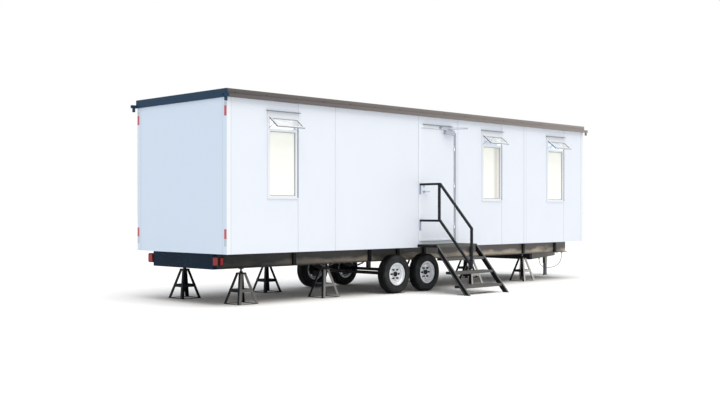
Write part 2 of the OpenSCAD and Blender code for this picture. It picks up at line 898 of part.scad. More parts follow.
module end_beams() {
    inner = beam_inset + beam_width;
    color("dimgray") {
        translate([end_setback, 0, 0]) end_channel([beam_inset, box_width - beam_inset]);
        both_sides()
        slab([end_setback, beam_rear], [beam_inset, beam_inset + beam_web], [beam_bottom, wall_bottom]);
        translate([beam_front, 0, 0]) mirror([1, 0, 0]) end_channel([inner, box_width - inner]);
    }
}

// Channel across an end of the chassis, open toward the middle
module end_channel(y) {
    low = beam_bottom + beam_flange;
    high = wall_bottom - beam_flange;
    along_y(y)
    polygon([
        [0, beam_bottom], [end_beam_width, beam_bottom], [end_beam_width, low], [beam_web, low],
        [beam_web, high], [end_beam_width, high], [end_beam_width, wall_bottom], [0, wall_bottom]
    ]);
}

module cross_members() {
    end_gap = 950;
    first = end_gap;
    last = front - end_gap;
    sheet = 6;
    low = wall_bottom - beam_flange - cross_depth - 30;
    high = low + cross_depth;
    color("dimgray")
    for (i = [0:cross_count - 1])
        translate([first + (last - first) * i / (cross_count - 1), 0, 0])
        along_y([beam_centre + beam_web / 2, box_width - beam_centre - beam_web / 2])
        polygon([
            [0, low], [cross_width, low], [cross_width, low + sheet], [sheet, low + sheet],
            [sheet, high - sheet], [cross_width, high - sheet], [cross_width, high], [0, high]
        ]);
}

module tail_lamps() {
    lamp_z = (beam_bottom + wall_bottom) / 2 + 7;
    color("dimgray")
    both_sides()
    slab([end_setback, end_setback + lamp_depth], [beam_inset - lamp_side, beam_inset],
        [lamp_z - lamp_side / 2, lamp_z + lamp_side / 2]);
}

module tail_lenses() {
    lamp_z = (beam_bottom + wall_bottom) / 2 + 7;
    rim = 16;
    side_margin = 20;
    color("firebrick")
    both_sides() {
        slab([end_setback - lens_thickness, end_setback], [beam_inset - lamp_side + rim, beam_inset - rim],
            [lamp_z - lamp_side / 2 + rim, lamp_z + lamp_side / 2 - rim]);
        slab([end_setback + side_margin, end_setback + lamp_depth - side_margin],
            [beam_inset - lamp_side - lens_thickness, beam_inset - lamp_side],
            [lamp_z - lamp_side / 2 + side_margin, lamp_z + lamp_side / 2 - side_margin]);
    }
}

// Hitch

module hitch_beam_bar() {
    color("dimgray")
    slab([hitch_rear, leg_rear], [beam_inset, box_width - beam_inset], [leg_bottom, beam_bottom]);
}

module hitch_legs() {
    centre_cut = middle - nose_gap;
    color("dimgray")
    both_sides()
    translate([0, 0, leg_bottom])
    linear_extrude(beam_bottom - leg_bottom)
    polygon([
        [leg_rear, beam_centre - leg_half], [leg_rear, beam_centre + leg_half],
        [leg_rear + (centre_cut - beam_centre - leg_half) / leg_tan, centre_cut],
        [leg_rear + (centre_cut - beam_centre + leg_half) / leg_tan, centre_cut]
    ]);
}

module coupler() {
    nose_radius = 45;
    nose = coupler_tip - nose_radius;
    plate = 10;
    wing = nose_x - 200;
    wing_half = middle - beam_centre - (wing - leg_rear) * leg_tan + leg_half;
    socket_mouth = beam_bottom - 65;
    color("dimgray")
    difference() {
        union() {
            translate([0, 0, beam_bottom])
            linear_extrude(plate)
            polygon([
                [wing, middle - wing_half], [nose, middle - nose_radius],
                [nose, middle + nose_radius], [wing, middle + wing_half]
            ]);
            translate([nose, middle, socket_mouth]) cylinder(h = 100, r = nose_radius);
            slab([nose - 150, nose], [middle - 18, middle + 18], [beam_bottom, beam_bottom + 30]);
        }
        translate([nose, middle, socket_mouth - cut]) cylinder(h = socket_depth + cut, r = socket_radius);
    }
}

module tongue_jack() {
    jack_x = front + jack_reach;
    plate = 12;
    plate_half = middle - beam_centre - (jack_x - leg_rear) * leg_tan + leg_half;
    plate_reach = jack_radius + 20;
    tube_radius = jack_radius - 10;
    head = 35;
    crank_z = jack_top + head / 2;
    crank_radius = 9;
    crank_reach = 170;
    grip_radius = 11;
    grip_length = 110;
    color("dimgray") {
        slab([jack_x - plate_reach, jack_x + plate_reach], [middle - plate_half, middle + plate_half],
            [beam_bottom, beam_bottom + plate]);
        translate([jack_x, middle, jack_low]) cylinder(h = jack_top - jack_low, r = jack_radius);
        translate([jack_x, middle, plate / 2]) cylinder(h = jack_low, r = tube_radius);
        translate([jack_x, middle, 0]) cylinder(h = plate, r = jack_radius + 6);
        translate([jack_x, middle, jack_top - 1]) cylinder(h = head, r = jack_radius + 6);
        rod_y(jack_x, [middle - crank_reach, middle], crank_z, crank_radius);
        translate([jack_x, middle - crank_reach + grip_radius, crank_z - crank_radius / 2])
        cylinder(h = grip_length, r = grip_radius);
    }
}

// Running gear

spring_radius = (spring_half * spring_half + spring_sag * spring_sag) / (2 * spring_sag);
spring_centre = eye_z - spring_sag + spring_radius;
spring_y = beam_centre;
hanger_half = spring_width / 2 + 1;
plate_half = hanger_half + hanger_sheet + 1;

// Hanger of two side plates under the main beam, with a bolt, in X and Z from its bolt's middle
module hanger(x, bolt_z, half) {
    width = 60;
    lip = 22;
    bolt_end = half + 2 * hanger_sheet;
    span = [x - width / 2, x + width / 2];
    for (start = [-half - hanger_sheet, half])
        slab(span, [spring_y + start, spring_y + start + hanger_sheet], [bolt_z - lip, beam_bottom]);
    slab(span, [spring_y - half - 1, spring_y + half + 1], [beam_bottom - hanger_sheet, beam_bottom]);
    rod_y(x, [spring_y - bolt_end, spring_y + bolt_end], bolt_z, bolt_radius);
}

module spring_hangers() {
    color("dimgray")
    both_sides() {
        hanger(axle_places[0] - spring_half, eye_z, hanger_half);
        hanger(axle_mid, equalizer_z, plate_half);
        hanger(axle_places[1] + spring_half, eye_z, hanger_half);
    }
}

// Arched leaf of this share of the full length, in X and Z
module leaf_arc(index, share) {
    inner = spring_radius + index * leaf_spring_thickness;
    half = spring_half * share;
    intersection() {
        translate([0, spring_centre])
        difference() {
            circle(r = inner + leaf_spring_thickness, $fn = 720);
            circle(r = inner, $fn = 720);
        }
        translate([-half, seat_top - 20]) square([2 * half, spring_sag + 60]);
    }
}

module leaf_springs() {
    color("dimgray")
    both_sides() for (x = axle_places)
        translate([x, 0, 0])
        along_y([spring_y - spring_width / 2, spring_y + spring_width / 2])
        difference() {
            union() {
                for (i = [0:leaf_count - 1]) leaf_arc(i, 1 - 0.27 * i);
                for (side = [-1, 1]) translate([side * spring_half, eye_z]) circle(r = eye_radius);
            }
            for (side = [-1, 1]) translate([side * spring_half, eye_z]) circle(r = bolt_radius + seat_gap);
        }
}

module equalizers() {
    reach = equalizer_half;
    lip = 20;
    low = eye_z - lip;
    high = equalizer_z + lip;
    color("dimgray")
    both_sides() {
        difference() {
            union() {
                for (start = [-hanger_half - hanger_sheet, hanger_half])
                    along_y([spring_y + start, spring_y + start + hanger_sheet])
                    polygon([
                        [axle_mid - reach - lip, low], [axle_mid + reach + lip, low],
                        [axle_mid + reach + lip, eye_z + lip / 2], [axle_mid + lip, high],
                        [axle_mid - lip, high], [axle_mid - reach - lip, eye_z + lip / 2]
                    ]);
                rod_y(axle_mid, [spring_y - hanger_half - 1, spring_y + hanger_half + 1], equalizer_z, 15);
            }
            rod_y(axle_mid, [spring_y - plate_half, spring_y + plate_half], equalizer_z,
                bolt_radius + seat_gap);
        }
        for (side = [-1, 1])
            rod_y(axle_mid + side * reach, [spring_y - hanger_half - 1, spring_y + hanger_half + 1],
                eye_z, bolt_radius);
    }
}

hub_back = tyre_inset + tyre_width + 5;
backing_y = hub_back + 2;
backing_thickness = 8;
backing_radius = 125;
seat_half = 40;
spindle_tip = wheel_y - 40;

module axles() {
    color("dimgray")
    for (x = axle_places) {
        rod_y(x, [backing_y, box_width - backing_y], axle_z, axle_radius);
        rod_y(x, [spindle_tip, box_width - spindle_tip], axle_z, spindle_radius);
        both_sides() {
            rod_y(x, [backing_y, backing_y + backing_thickness], axle_z, backing_radius);
            slab([x - seat_half, x + seat_half],
                [spring_y - spring_width / 2, spring_y + spring_width / 2], [axle_z, seat_top]);
        }
    }
}

// A wheel piece turned about its own axle, with +Z of the drawing pointing out of the cabin
module at_wheel(place, far) {
    if (far) far_side() translate([axle_places[place], wheel_y, axle_z]) rotate([90, 0, 0]) children();
    else translate([axle_places[place], wheel_y, axle_z]) rotate([90, 0, 0]) children();
}

rim_sheet = 6;
seat_radius = rim_radius - 14;
well_radius = seat_radius - 16;
well_half = rim_width / 2 - 40;

module tyre() {
    half = tyre_width / 2;
    bead = rim_width / 2 - 8;
    inner = seat_radius + 0.2;
    groove = 7;
    notch = rim_width / 2 - 7;
    color("dimgray")
    rotate_extrude()
    difference() {
        union() {
            translate([inner, -half + tyre_shoulder])
            square([tyre_radius - inner, tyre_width - 2 * tyre_shoulder]);
            translate([rim_radius + 30, -half])
            square([tyre_radius - tyre_shoulder - rim_radius - 30, tyre_width]);
            for (side = [-1, 1])
                translate([tyre_radius - tyre_shoulder, side * (half - tyre_shoulder)])
                circle(r = tyre_shoulder);
            polygon([[inner, -bead], [rim_radius + 30, -half], [rim_radius + 30, half], [inner, bead]]);
        }
        for (i = [-1.5:1:1.5])
            translate([tyre_radius - groove, i * 32 - groove / 2]) square([2 * groove, groove]);
        for (side = [-1, 1])
            translate([rim_radius - cut, side > 0 ? notch : -notch - cut]) square([cut + seat_gap, cut]);
    }
}

// Steel wheel with its hub and brake drum
module wheel() {
    edge = rim_width / 2;
    bore_depth = wheel_y - spindle_tip + 3;
    hub_low = wheel_y - hub_back;
    color("white")
    difference() {
        union() {
            rotate_extrude()
            polygon([
                [seat_radius, edge - 7], [seat_radius, well_half + 12], [well_radius, well_half],
                [well_radius, -well_half], [seat_radius, -well_half - 12], [seat_radius, -edge + 7],
                [rim_radius, -edge + 5], [rim_radius, -edge], [seat_radius - rim_sheet, -edge],
                [seat_radius - rim_sheet, -well_half - 15], [well_radius - rim_sheet, -well_half - 3],
                [well_radius - rim_sheet, well_half + 3], [seat_radius - rim_sheet, well_half + 15],
                [seat_radius - rim_sheet, edge], [rim_radius, edge], [rim_radius, edge - 5]
            ]);
            rotate_extrude()
            polygon([
                [well_radius - rim_sheet + 1, 6], [well_radius - rim_sheet + 1, 16], [135, 36], [85, 36],
                [60, 28], [0, 28], [0, 18], [64, 18], [90, 26], [132, 26], [150, 6]
            ]);
            translate([0, 0, hub_low]) cylinder(h = 19 - hub_low, r = 44);
            translate([0, 0, 27]) cylinder(h = bore_depth - 17, r = 40);
            translate([0, 0, hub_low]) cylinder(h = 60, r = 128);
        }
        translate([0, 0, hub_low - cut])
        cylinder(h = bore_depth - hub_low + cut, r = spindle_radius + bore_gap);
        for (i = [0:hand_holes - 1])
            rotate(i * 360 / hand_holes) translate([110, 0, 0]) cylinder(h = 50, r = hand_hole_radius);
    }
}

module tyre_near_rear() at_wheel(0, false) tyre();
module wheel_near_rear() at_wheel(0, false) wheel();
module tyre_near_front() at_wheel(1, false) tyre();
module wheel_near_front() at_wheel(1, false) wheel();
module tyre_far_rear() at_wheel(0, true) tyre();
module wheel_far_rear() at_wheel(0, true) wheel();
module tyre_far_front() at_wheel(1, true) tyre();
module wheel_far_front() at_wheel(1, true) wheel();

// Jack stands

module at_stands() {
    both_sides() for (x = stand_places) translate([x, beam_centre, 0]) children();
}

// Square ring of flat bar at a height, outside size given
module tie_ring(z, size, height) {
    translate([0, 0, z])
    linear_extrude(height)
    difference() {
        square(size, center = true);
        square(size - 2 * stand_sheet, center = true);
    }
}

module stand_frame() {
    top_plate = 12;
    foot_bar = 10;
    sleeve = screw_radius + 12;
    lean = (stand_base - stand_top) / 2;
    tilt = atan2(lean * sqrt(2), stand_height);
    tie_size = stand_base - 2 * lean * (stand_tie + tie_height / 2) / stand_height - 4;
    leg = stand_height * 1.3;
    difference() {
        union() {
            intersection() {
                for (turn = [0:90:270])
                    rotate(turn)
                    translate([stand_base / 2, stand_base / 2, 0])
                    rotate([0, 0, 45]) rotate([0, -tilt, 0]) rotate([0, 0, -45])
                    translate([0, 0, -60])
                    linear_extrude(leg)
                    polygon([
                        [0, 0], [0, -stand_angle], [-stand_sheet, -stand_angle], [-stand_sheet, -stand_sheet],
                        [-stand_angle, -stand_sheet], [-stand_angle, 0]
                    ]);
                slab([-stand_base, stand_base], [-stand_base, stand_base], [0, stand_height - 1]);
            }
            tie_ring(0, stand_base - 4, foot_bar);
            tie_ring(stand_tie, tie_size, tie_height);
            slab([-stand_top / 2, stand_top / 2], [-stand_top / 2, stand_top / 2],
                [stand_height - top_plate, stand_height]);
            translate([0, 0, stand_height - 70]) cylinder(h = 65, r = sleeve);
        }
        translate([0, 0, stand_height - 90]) cylinder(h = 120, r = screw_radius + seat_gap);
    }
}

module stand_frames() {
    color("dimgray") at_stands() stand_frame();
}

module stand_screws() {
    nut_height = 22;
    pad = 12;
    color("gray")
    at_stands() {
        translate([0, 0, stand_height - 80]) cylinder(h = beam_bottom - stand_height + 75, r = screw_radius);
        translate([0, 0, stand_height]) cylinder(h = nut_height, r = screw_radius + 13, $fn = 6);
        slab([-pad_side / 2, pad_side / 2], [-pad_side / 2, pad_side / 2], [beam_bottom - pad, beam_bottom]);
    }
}

// Cable and its clips

clip_side = 30;

module cable_clip(end, seat) {
    slab([end.x - clip_side / 2, end.x + clip_side / 2], [end.y - clip_side / 2, end.y + clip_side / 2],
        [end.z, seat]);
}

module cable_clips() {
    color("gray") {
        cable_clip(cable_route[0], beam_bottom);
        cable_clip(cable_route[len(cable_route) - 1], leg_bottom);
    }
}

// Smooth curve through the route, two stretches for each pair of points
function route_at(i) = cable_route[max(0, min(len(cable_route) - 1, i))];
function route_half(i) = (9 * (route_at(i) + route_at(i + 1)) - route_at(i - 1) - route_at(i + 2)) / 16;
cable_points = concat(
    [for (i = [0:len(cable_route) - 2]) each [route_at(i), route_half(i)]],
    [route_at(len(cable_route) - 1)]
);

// Direction of the cable at a point, straight down and up at its ends
function cable_way(i) =
    i == 0 ? [0, 0, -1] :
    i == len(cable_points) - 1 ? [0, 0, 1] :
    let (d = cable_points[i + 1] - cable_points[i - 1]) d / norm(d);

// Ring of points round the cable, set square to its direction
function cable_ring(i) =
    let (
        run = cable_route[len(cable_route) - 1] - cable_route[0],
        side_raw = cross([run.x, run.y, 0], [0, 0, 1]),
        side = side_raw / norm(side_raw),
        up = cross(side, cable_way(i))
    )
    [for (k = [0:cable_sides - 1])
        let (turn = k * 360 / cable_sides)
        cable_points[i] + cable_radius * (cos(turn) * side + sin(turn) * up)];

module light_cable() {
    rings = len(cable_points);
    points = [for (i = [0:rings - 1]) each cable_ring(i)];
    walls = [for (i = [0:rings - 2]) for (k = [0:cable_sides - 1])
        let (next = (k + 1) % cable_sides, here = i * cable_sides, there = here + cable_sides)
        [here + k, here + next, there + next, there + k]];
    first = [for (k = [cable_sides - 1:-1:0]) k];
    last = [for (k = [0:cable_sides - 1]) (rings - 1) * cable_sides + k];
    color("linen") polyhedron(points, concat(walls, [first, last]));
}

placed() floor_deck();
placed() rear_wall();
placed() front_wall();
placed() back_wall();
placed() side_wall_rear();
placed() side_wall_front();
placed() side_wall_over_door();
placed() side_wall_under_door();
placed() roof_panel();
placed() side_gutters();
placed() end_fascias();
placed() corner_trims();
placed() panel_strips();
placed() window_frames();
placed() window_panes();
placed() awning_sashes();
placed() awning_panes();
placed() awning_stays();
placed() drip_hoods();
placed() door_jambs();
placed() door_head();
placed() door_sill();
placed() frame_hinges();
placed() closer_shoe();
placed() chassis_beams();
placed() end_beams();
placed() cross_members();
placed() hitch_beam_bar();
placed() hitch_legs();
placed() coupler();
placed() tongue_jack();
placed() spring_hangers();
placed() leaf_springs();
placed() equalizers();
placed() axles();
placed() stand_frames();
placed() stand_screws();
placed() stair_stringers();
placed() stair_platform();
placed() stair_treads();
placed() handrail();
placed() handrail_plates();
placed() tail_lamps();
placed() tail_lenses();
placed() cable_clips();
placed() light_cable();
placed() door_leaf();
placed() door_hinges();
placed() door_handles();
placed() closer_body();
placed() closer_main_arm();
placed() closer_forearm();
placed() tyre_near_rear();
placed() wheel_near_rear();
placed() tyre_near_front();
placed() wheel_near_front();
placed() tyre_far_rear();
placed() wheel_far_rear();
placed() tyre_far_front();
placed() wheel_far_front();
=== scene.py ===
"""Looks of the wheeled site cabin: its finishes, fittings, cable and studio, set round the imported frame."""

import logging
import math
from dataclasses import dataclass
from enum import Enum, IntEnum
from typing import Any, ClassVar, Iterable, Sequence

import bmesh
import bpy
from mathutils import Matrix, Vector


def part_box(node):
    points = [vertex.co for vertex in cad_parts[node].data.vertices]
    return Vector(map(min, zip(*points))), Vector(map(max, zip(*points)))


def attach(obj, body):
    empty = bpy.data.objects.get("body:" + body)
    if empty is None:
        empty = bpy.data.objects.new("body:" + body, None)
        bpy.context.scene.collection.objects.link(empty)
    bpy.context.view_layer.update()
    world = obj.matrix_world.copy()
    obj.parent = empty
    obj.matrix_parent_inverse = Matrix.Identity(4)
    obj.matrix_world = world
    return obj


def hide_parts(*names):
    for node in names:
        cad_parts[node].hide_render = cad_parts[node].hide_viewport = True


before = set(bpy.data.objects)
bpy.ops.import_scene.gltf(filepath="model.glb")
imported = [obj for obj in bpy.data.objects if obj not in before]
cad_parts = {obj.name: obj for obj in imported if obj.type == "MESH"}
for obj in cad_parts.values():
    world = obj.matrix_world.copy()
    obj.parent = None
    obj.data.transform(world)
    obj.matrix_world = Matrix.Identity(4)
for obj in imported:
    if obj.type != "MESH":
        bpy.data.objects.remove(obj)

Triple = tuple[float, float, float]
Color = Triple
# Two ends of a stretch, or a pair of sizes
Span = tuple[float, float]
# Points of an outline
Outline = tuple[Span, ...]
# A place and the way that it faces
Spot = tuple[Vector, Vector]

log = logging.getLogger("site_cabin")
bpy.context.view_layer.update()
CABIN = "cabin"
DOOR = "door"
NEAR_SIDE = Vector((0, -1, 0))
FAR_SIDE = Vector((0, 1, 0))
REARWARD = Vector((-1, 0, 0))
FORWARD = Vector((1, 0, 0))
UPWARD = Vector((0, 0, 1))
# Distance inside the end walls' faces where the roof trim's end colour starts
WALL_SLACK = 0.001


class Site:
    """The cabin's own axes, in metres: X from the rear wall, Y inward from the door side, Z upward."""

    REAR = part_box("rear_wall")[0].x
    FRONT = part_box("front_wall")[1].x
    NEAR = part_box("rear_wall")[0].y
    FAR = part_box("rear_wall")[1].y
    LENGTH = FRONT - REAR
    WIDTH = FAR - NEAR
    MIDDLE = (NEAR + FAR) / 2

    @classmethod
    def at(cls, x: float, y: float, z: float) -> Vector:
        """A place on the cabin's axes, in the row frame."""
        return Vector((cls.REAR + x, cls.NEAR + y, z))

    @classmethod
    def mirrored(cls, place: Vector) -> Vector:
        """The same place on the far side."""
        return Vector((place.x, cls.NEAR + cls.FAR - place.y, place.z))


class Edge(float, Enum):
    """Width of a piece's rounded edges, in metres."""

    NONE = 0.0
    BEAD = 0.001
    SHEET = 0.0015
    FOLD = 0.002
    PLATE = 0.0025
    BAR = 0.003
    CAST = 0.006


class Steps(IntEnum):
    """Steps round a turned or drawn piece."""

    ROD = 8
    LEVER = 10
    SCREW = 12
    PIN = 20
    CAP = 24
    HUB = 32
    DRUM = 40
    TYRE = 96


class ScreenCurve:
    """The standard curve of a screen's colours: a straight foot and a power above it."""

    TOP = 255
    FOOT = 0.04045
    FOOT_SLOPE = 12.92
    OFFSET = 0.055
    POWER = 2.4

    @classmethod
    def linear(cls, value: int) -> float:
        """Undoes the curve for one share."""
        part = value / cls.TOP
        if part <= cls.FOOT:
            return part / cls.FOOT_SLOPE
        return ((part + cls.OFFSET) / (1 + cls.OFFSET)) ** cls.POWER


def shade(red: int, green: int, blue: int) -> Color:
    """Turns a colour as a screen shows it, 0 to 255, into the linear values that shaders take.

    Args:
        red: Red share.
        green: Green share.
        blue: Blue share.

    Returns:
        The linear colour.
    """
    return ScreenCurve.linear(red), ScreenCurve.linear(green), ScreenCurve.linear(blue)


def tinted(color: Color, factor: float) -> Color:
    """A colour made darker or lighter by a factor, white at most."""
    return tuple(min(1.0, share * factor) for share in color)


@dataclass(frozen=True)
class Clouds:
    """A pattern of noise over an object.

    Attributes:
        scale: Clouds a metre.
        detail: Layers of finer noise.
        stretch: Scale along each axis.
    """

    scale: float
    detail: float = 4.0
    stretch: Triple = (1.0, 1.0, 1.0)


class Wire:
    """A socket of a node tree that takes part in Python expressions."""

    def __init__(self, graph: "Graph", socket: bpy.types.NodeSocket | None) -> None:
        """Keeps the socket and the graph that it belongs to."""
        self.graph = graph
        self.socket = socket

    def math(self, operation: str, first: Any, second: Any = 0.0) -> "Wire":
        """Adds one Math node.

        Args:
            operation: The Math node's operation.
            first: First value or wire.
            second: Second value or wire.

        Returns:
            The node's result.
        """
        return self.graph.node("ShaderNodeMath", {"operation": operation}, {0: first, 1: second})

    def __add__(self, other: Any) -> "Wire":
        """Sum."""
        return self.math("ADD", self, other)

    def __radd__(self, other: Any) -> "Wire":
        """Sum with a number on the left."""
        return self.math("ADD", other, self)

    def __sub__(self, other: Any) -> "Wire":
        """Difference."""
        return self.math("SUBTRACT", self, other)

    def __rsub__(self, other: Any) -> "Wire":
        """Difference with a number on the left."""
        return self.math("SUBTRACT", other, self)

    def __mul__(self, other: Any) -> "Wire":
        """Product."""
        return self.math("MULTIPLY", self, other)

    def __rmul__(self, other: Any) -> "Wire":
        """Product with a number on the left."""
        return self.math("MULTIPLY", other, self)

    def __truediv__(self, other: Any) -> "Wire":
        """Quotient."""
        return self.math("DIVIDE", self, other)

    def __mod__(self, other: Any) -> "Wire":
        """Remainder, never negative."""
        return self.math("FLOORED_MODULO", self, other)

    def __lt__(self, other: Any) -> "Wire":
        """One where this is the smaller."""
        return self.math("LESS_THAN", self, other)

    def __gt__(self, other: Any) -> "Wire":
        """One where this is the larger."""
        return self.math("GREATER_THAN", self, other)

    def __abs__(self) -> "Wire":
        """Size without its sign."""
        return self.math("ABSOLUTE", self)

    def sign(self) -> "Wire":
        """One above nought and minus one below it."""
        return self.math("SIGN", self)

    def either(self, other: "Wire") -> "Wire":
        """The larger of two masks."""
        return self.math("MAXIMUM", self, other)


class Graph:
    """A node tree under construction, for a material, the world or a repeat."""

    def __init__(self, tree: bpy.types.NodeTree) -> None:
        """Starts from an emptied tree."""
        self.tree = tree
        tree.nodes.clear()

    def node(
        self,
        kind: str,
        settings: dict[str, Any] | None = None,
        inputs: dict[int | str, Any] | None = None,
        output: int | str = 0,
    ) -> Wire:
        """Adds a node.

        Args:
            kind: The node's type.
            settings: Its settings; "stops" sets a ramp's stops.
            inputs: Values or wires of its sockets, by name or number.
            output: The output that comes back.

        Returns:
            The chosen output, or an empty wire for a node that has none.
        """
        made = self.tree.nodes.new(kind)
        for key, value in (settings or {}).items():
            if key == "stops":
                self._stops(made.color_ramp, value)
            else:
                setattr(made, key, value)
        for key, value in (inputs or {}).items():
            if isinstance(value, Wire):
                self.tree.links.new(value.socket, made.inputs[key])
            else:
                made.inputs[key].default_value = value
        return Wire(self, made.outputs[output] if made.outputs else None)

    @staticmethod
    def _stops(ramp: bpy.types.ColorRamp, stops: Sequence[Span]) -> None:
        """Sets the grey stops of a ramp, which starts with two.

        Args:
            ramp: The ramp.
            stops: Place and brightness of both stops.
        """
        for element, (place, grey) in zip(ramp.elements, stops):
            element.position = place
            element.color = (grey, grey, grey, 1.0)

    def mix(self, factor: Any, first: Any, second: Any) -> Wire:
        """Mixes two colours by a factor."""
        settings = {"data_type": "RGBA", "clamp_factor": True}
        return self.node("ShaderNodeMix", settings, {0: factor, 6: rgba(first), 7: rgba(second)}, 2)

    def rise(self, value: Wire, span: Span, top: float = 1.0, foot: float = 0.0) -> Wire:
        """Goes from the foot to the top while a value crosses a span."""
        stops = ((span[0], foot), (span[1], top))
        return self.node("ShaderNodeValToRGB", {"stops": stops}, {"Fac": value})


def rgba(color: Any) -> Any:
    """Adds the fourth share that a colour socket takes; a wire passes as it is."""
    return color if isinstance(color, Wire) else (*color, 1.0)


class Coat(Graph):
    """A material's graph, in which a finish is laid on a surface.

    Attributes:
        place: Object coordinates, in metres.
        inputs: Inputs of the surface's shader by name.
    """

    def __init__(self, tree: bpy.types.NodeTree) -> None:
        """Starts with a bare surface."""
        super().__init__(tree)
        self.place = self.node("ShaderNodeTexCoord", output="Object")
        self.inputs: dict[str, Any] = {}

    def along(self, axis: str) -> Wire:
        """Place along X, Y or Z."""
        return self.node("ShaderNodeSeparateXYZ", inputs={0: self.place}, output=axis)

    def facing(self, axis: str) -> Wire:
        """How far a face looks along X, Y or Z."""
        normal = self.node("ShaderNodeNewGeometry", output="Normal")
        return self.node("ShaderNodeSeparateXYZ", inputs={0: normal}, output=axis)

    def outward(self, middle: float) -> Wire:
        """How far a face looks away from an upright middle plane, given by its place along Y."""
        return (self.along("Y") - middle).sign() * self.facing("Y")

    def noise(self, clouds: Clouds) -> Wire:
        """Adds cloudy noise.

        Args:
            clouds: The pattern.

        Returns:
            Noise from 0 to 1.
        """
        spread = self.node("ShaderNodeMapping", inputs={"Vector": self.place, "Scale": clouds.stretch})
        sizes = {"Vector": spread, "Scale": clouds.scale, "Detail": clouds.detail}
        return self.node("ShaderNodeTexNoise", inputs=sizes)

    def ripple(self, clouds: Clouds, swing: float) -> Wire:
        """Cloudy noise about nought, as wide as its swing."""
        return (self.noise(clouds) - 0.5) * swing

    def paint(self, share: Wire, color: Color) -> None:
        """Lays a colour over the surface's, by a share."""
        self.inputs["Base Color"] = self.mix(share, self.inputs["Base Color"], color)

    def bump(self, height: Wire, depth: float) -> None:
        """Shapes the surface by a height map, with its depth in metres."""
        sizes = {"Height": height, "Distance": depth, "Strength": 1.0}
        self.inputs["Normal"] = self.node("ShaderNodeBump", inputs=sizes)


@dataclass(frozen=True)
class Finish:
    """A smooth finish: one colour with slight clouding.

    Attributes:
        name: The material's name.
        color: Main colour, linear.
        rough: Roughness.
        metal: Metallic share.
        coat: Clear coat's weight.
        clouds: Share by which the colour drifts.
        grain: Depth of the fine grain, in metres.
        grain_scale: Grains a metre.
        shine: Strength of the mirror at the surface.
    """

    COAT_ROUGH: ClassVar[float] = 0.12
    DRIFT: ClassVar[Clouds] = Clouds(1.7)
    WEAR: ClassVar[Clouds] = Clouds(9.0)
    WEAR_SWING: ClassVar[float] = 0.12
    GRAIN_DETAIL: ClassVar[float] = 2.0

    name: str
    color: Color
    rough: float = 0.5
    metal: float = 0.0
    coat: float = 0.0
    clouds: float = 0.06
    grain: float = 0.0002
    grain_scale: float = 260.0
    shine: float = 0.5

    def material(self) -> bpy.types.Material:
        """Makes the material once and finds it again later.

        Returns:
            The material.
        """
        found = bpy.data.materials.get(self.name)
        if found:
            return found
        made = bpy.data.materials.new(self.name)
        made.use_nodes = True
        coat = Coat(made.node_tree)
        self.lay(coat)
        fixed = {"Metallic": self.metal, "Coat Weight": self.coat, "Coat Roughness": self.COAT_ROUGH}
        fixed["Specular IOR Level"] = self.shine
        shader = coat.node("ShaderNodeBsdfPrincipled", inputs={**fixed, **coat.inputs})
        coat.node("ShaderNodeOutputMaterial", inputs={"Surface": shader})
        return made

    def lay(self, coat: Coat) -> None:
        """Lays the colour, its clouding and the grain.

        Args:
            coat: The surface.
        """
        dark = tinted(self.color, 1 - self.clouds * 2)
        light = tinted(self.color, 1 + self.clouds)
        coat.inputs["Base Color"] = coat.mix(coat.noise(self.DRIFT), dark, light)
        coat.inputs["Roughness"] = self.rough + coat.ripple(self.WEAR, self.WEAR_SWING)
        coat.bump(coat.noise(Clouds(self.grain_scale, self.GRAIN_DETAIL)), self.grain)


@dataclass(frozen=True)
class WallSkin(Finish):
    """Coated wall sheet: slow waves in the sheet, faint rain streaks, a little road dust low down and painted
    shade on the faces that look along X.

    Attributes:
        dust: Colour of the dust.
        dust_top: Height where the dust ends, in metres.
        dust_low: Height where it is thickest.
        dust_share: How thick the dust lies.
        wave: Depth of the sheet's slow waves.
        ends: Painted shade: the cooler, darker colour of the sheet on the faces that look along X, the ends.
    """

    STREAKS: ClassVar[Clouds] = Clouds(3.0, 5.0, (2.0, 2.0, 0.18))
    DUST_SPAN: ClassVar[Span] = (0.25, 0.9)
    WAVES: ClassVar[Clouds] = Clouds(1.3, 1.0)
    PEEL: ClassVar[Clouds] = Clouds(300.0, 2.0)
    END_FACING: ClassVar[float] = 0.7

    dust: Color = (0.52, 0.52, 0.52)
    dust_top: float = 1.25
    dust_low: float = 0.81
    dust_share: float = 0.05
    wave: float = 0.0008
    ends: Color = (0.685, 0.79, 0.935)

    def lay(self, coat: Coat) -> None:
        """Lays the sheet's colours, the painted shade on the ends, dust and waves.

        Args:
            coat: The surface.
        """
        super().lay(coat)
        # Painted shade: faces that look along X take the cooler ends colour.
        coat.paint(abs(coat.facing("X")) > self.END_FACING, self.ends)
        height = (self.dust_top - coat.along("Z")) / (self.dust_top - self.dust_low)
        coat.paint(coat.rise(height * coat.noise(self.STREAKS), self.DUST_SPAN, self.dust_share), self.dust)
        coat.bump(coat.noise(self.WAVES) * self.wave + coat.noise(self.PEEL) * self.grain, 1.0)


@dataclass(frozen=True)
class SashPaint(WallSkin):
    """Sash paint with painted shade: dark grey on the faces that look along X and along the outer lower edge.

    Attributes:
        middle: Place along Y that the outer faces look away from.
    """

    DOWN_FACING: ClassVar[float] = -0.5
    OUT_FACING: ClassVar[float] = 0.2
    LOWER_SHADE_SHARE: ClassVar[float] = 0.7

    middle: float = 0.0

    def lay(self, coat: Coat) -> None:
        """Lays the sheet's finish and the painted shade on the lower edge.

        Args:
            coat: The surface.
        """
        super().lay(coat)
        # Painted shade: the outer, downward faces of the sash's lower edge turn grey.
        lower_edge_shade = (coat.facing("Z") < self.DOWN_FACING) * (coat.outward(self.middle) > self.OUT_FACING)
        coat.paint(lower_edge_shade * self.LOWER_SHADE_SHARE, self.ends)


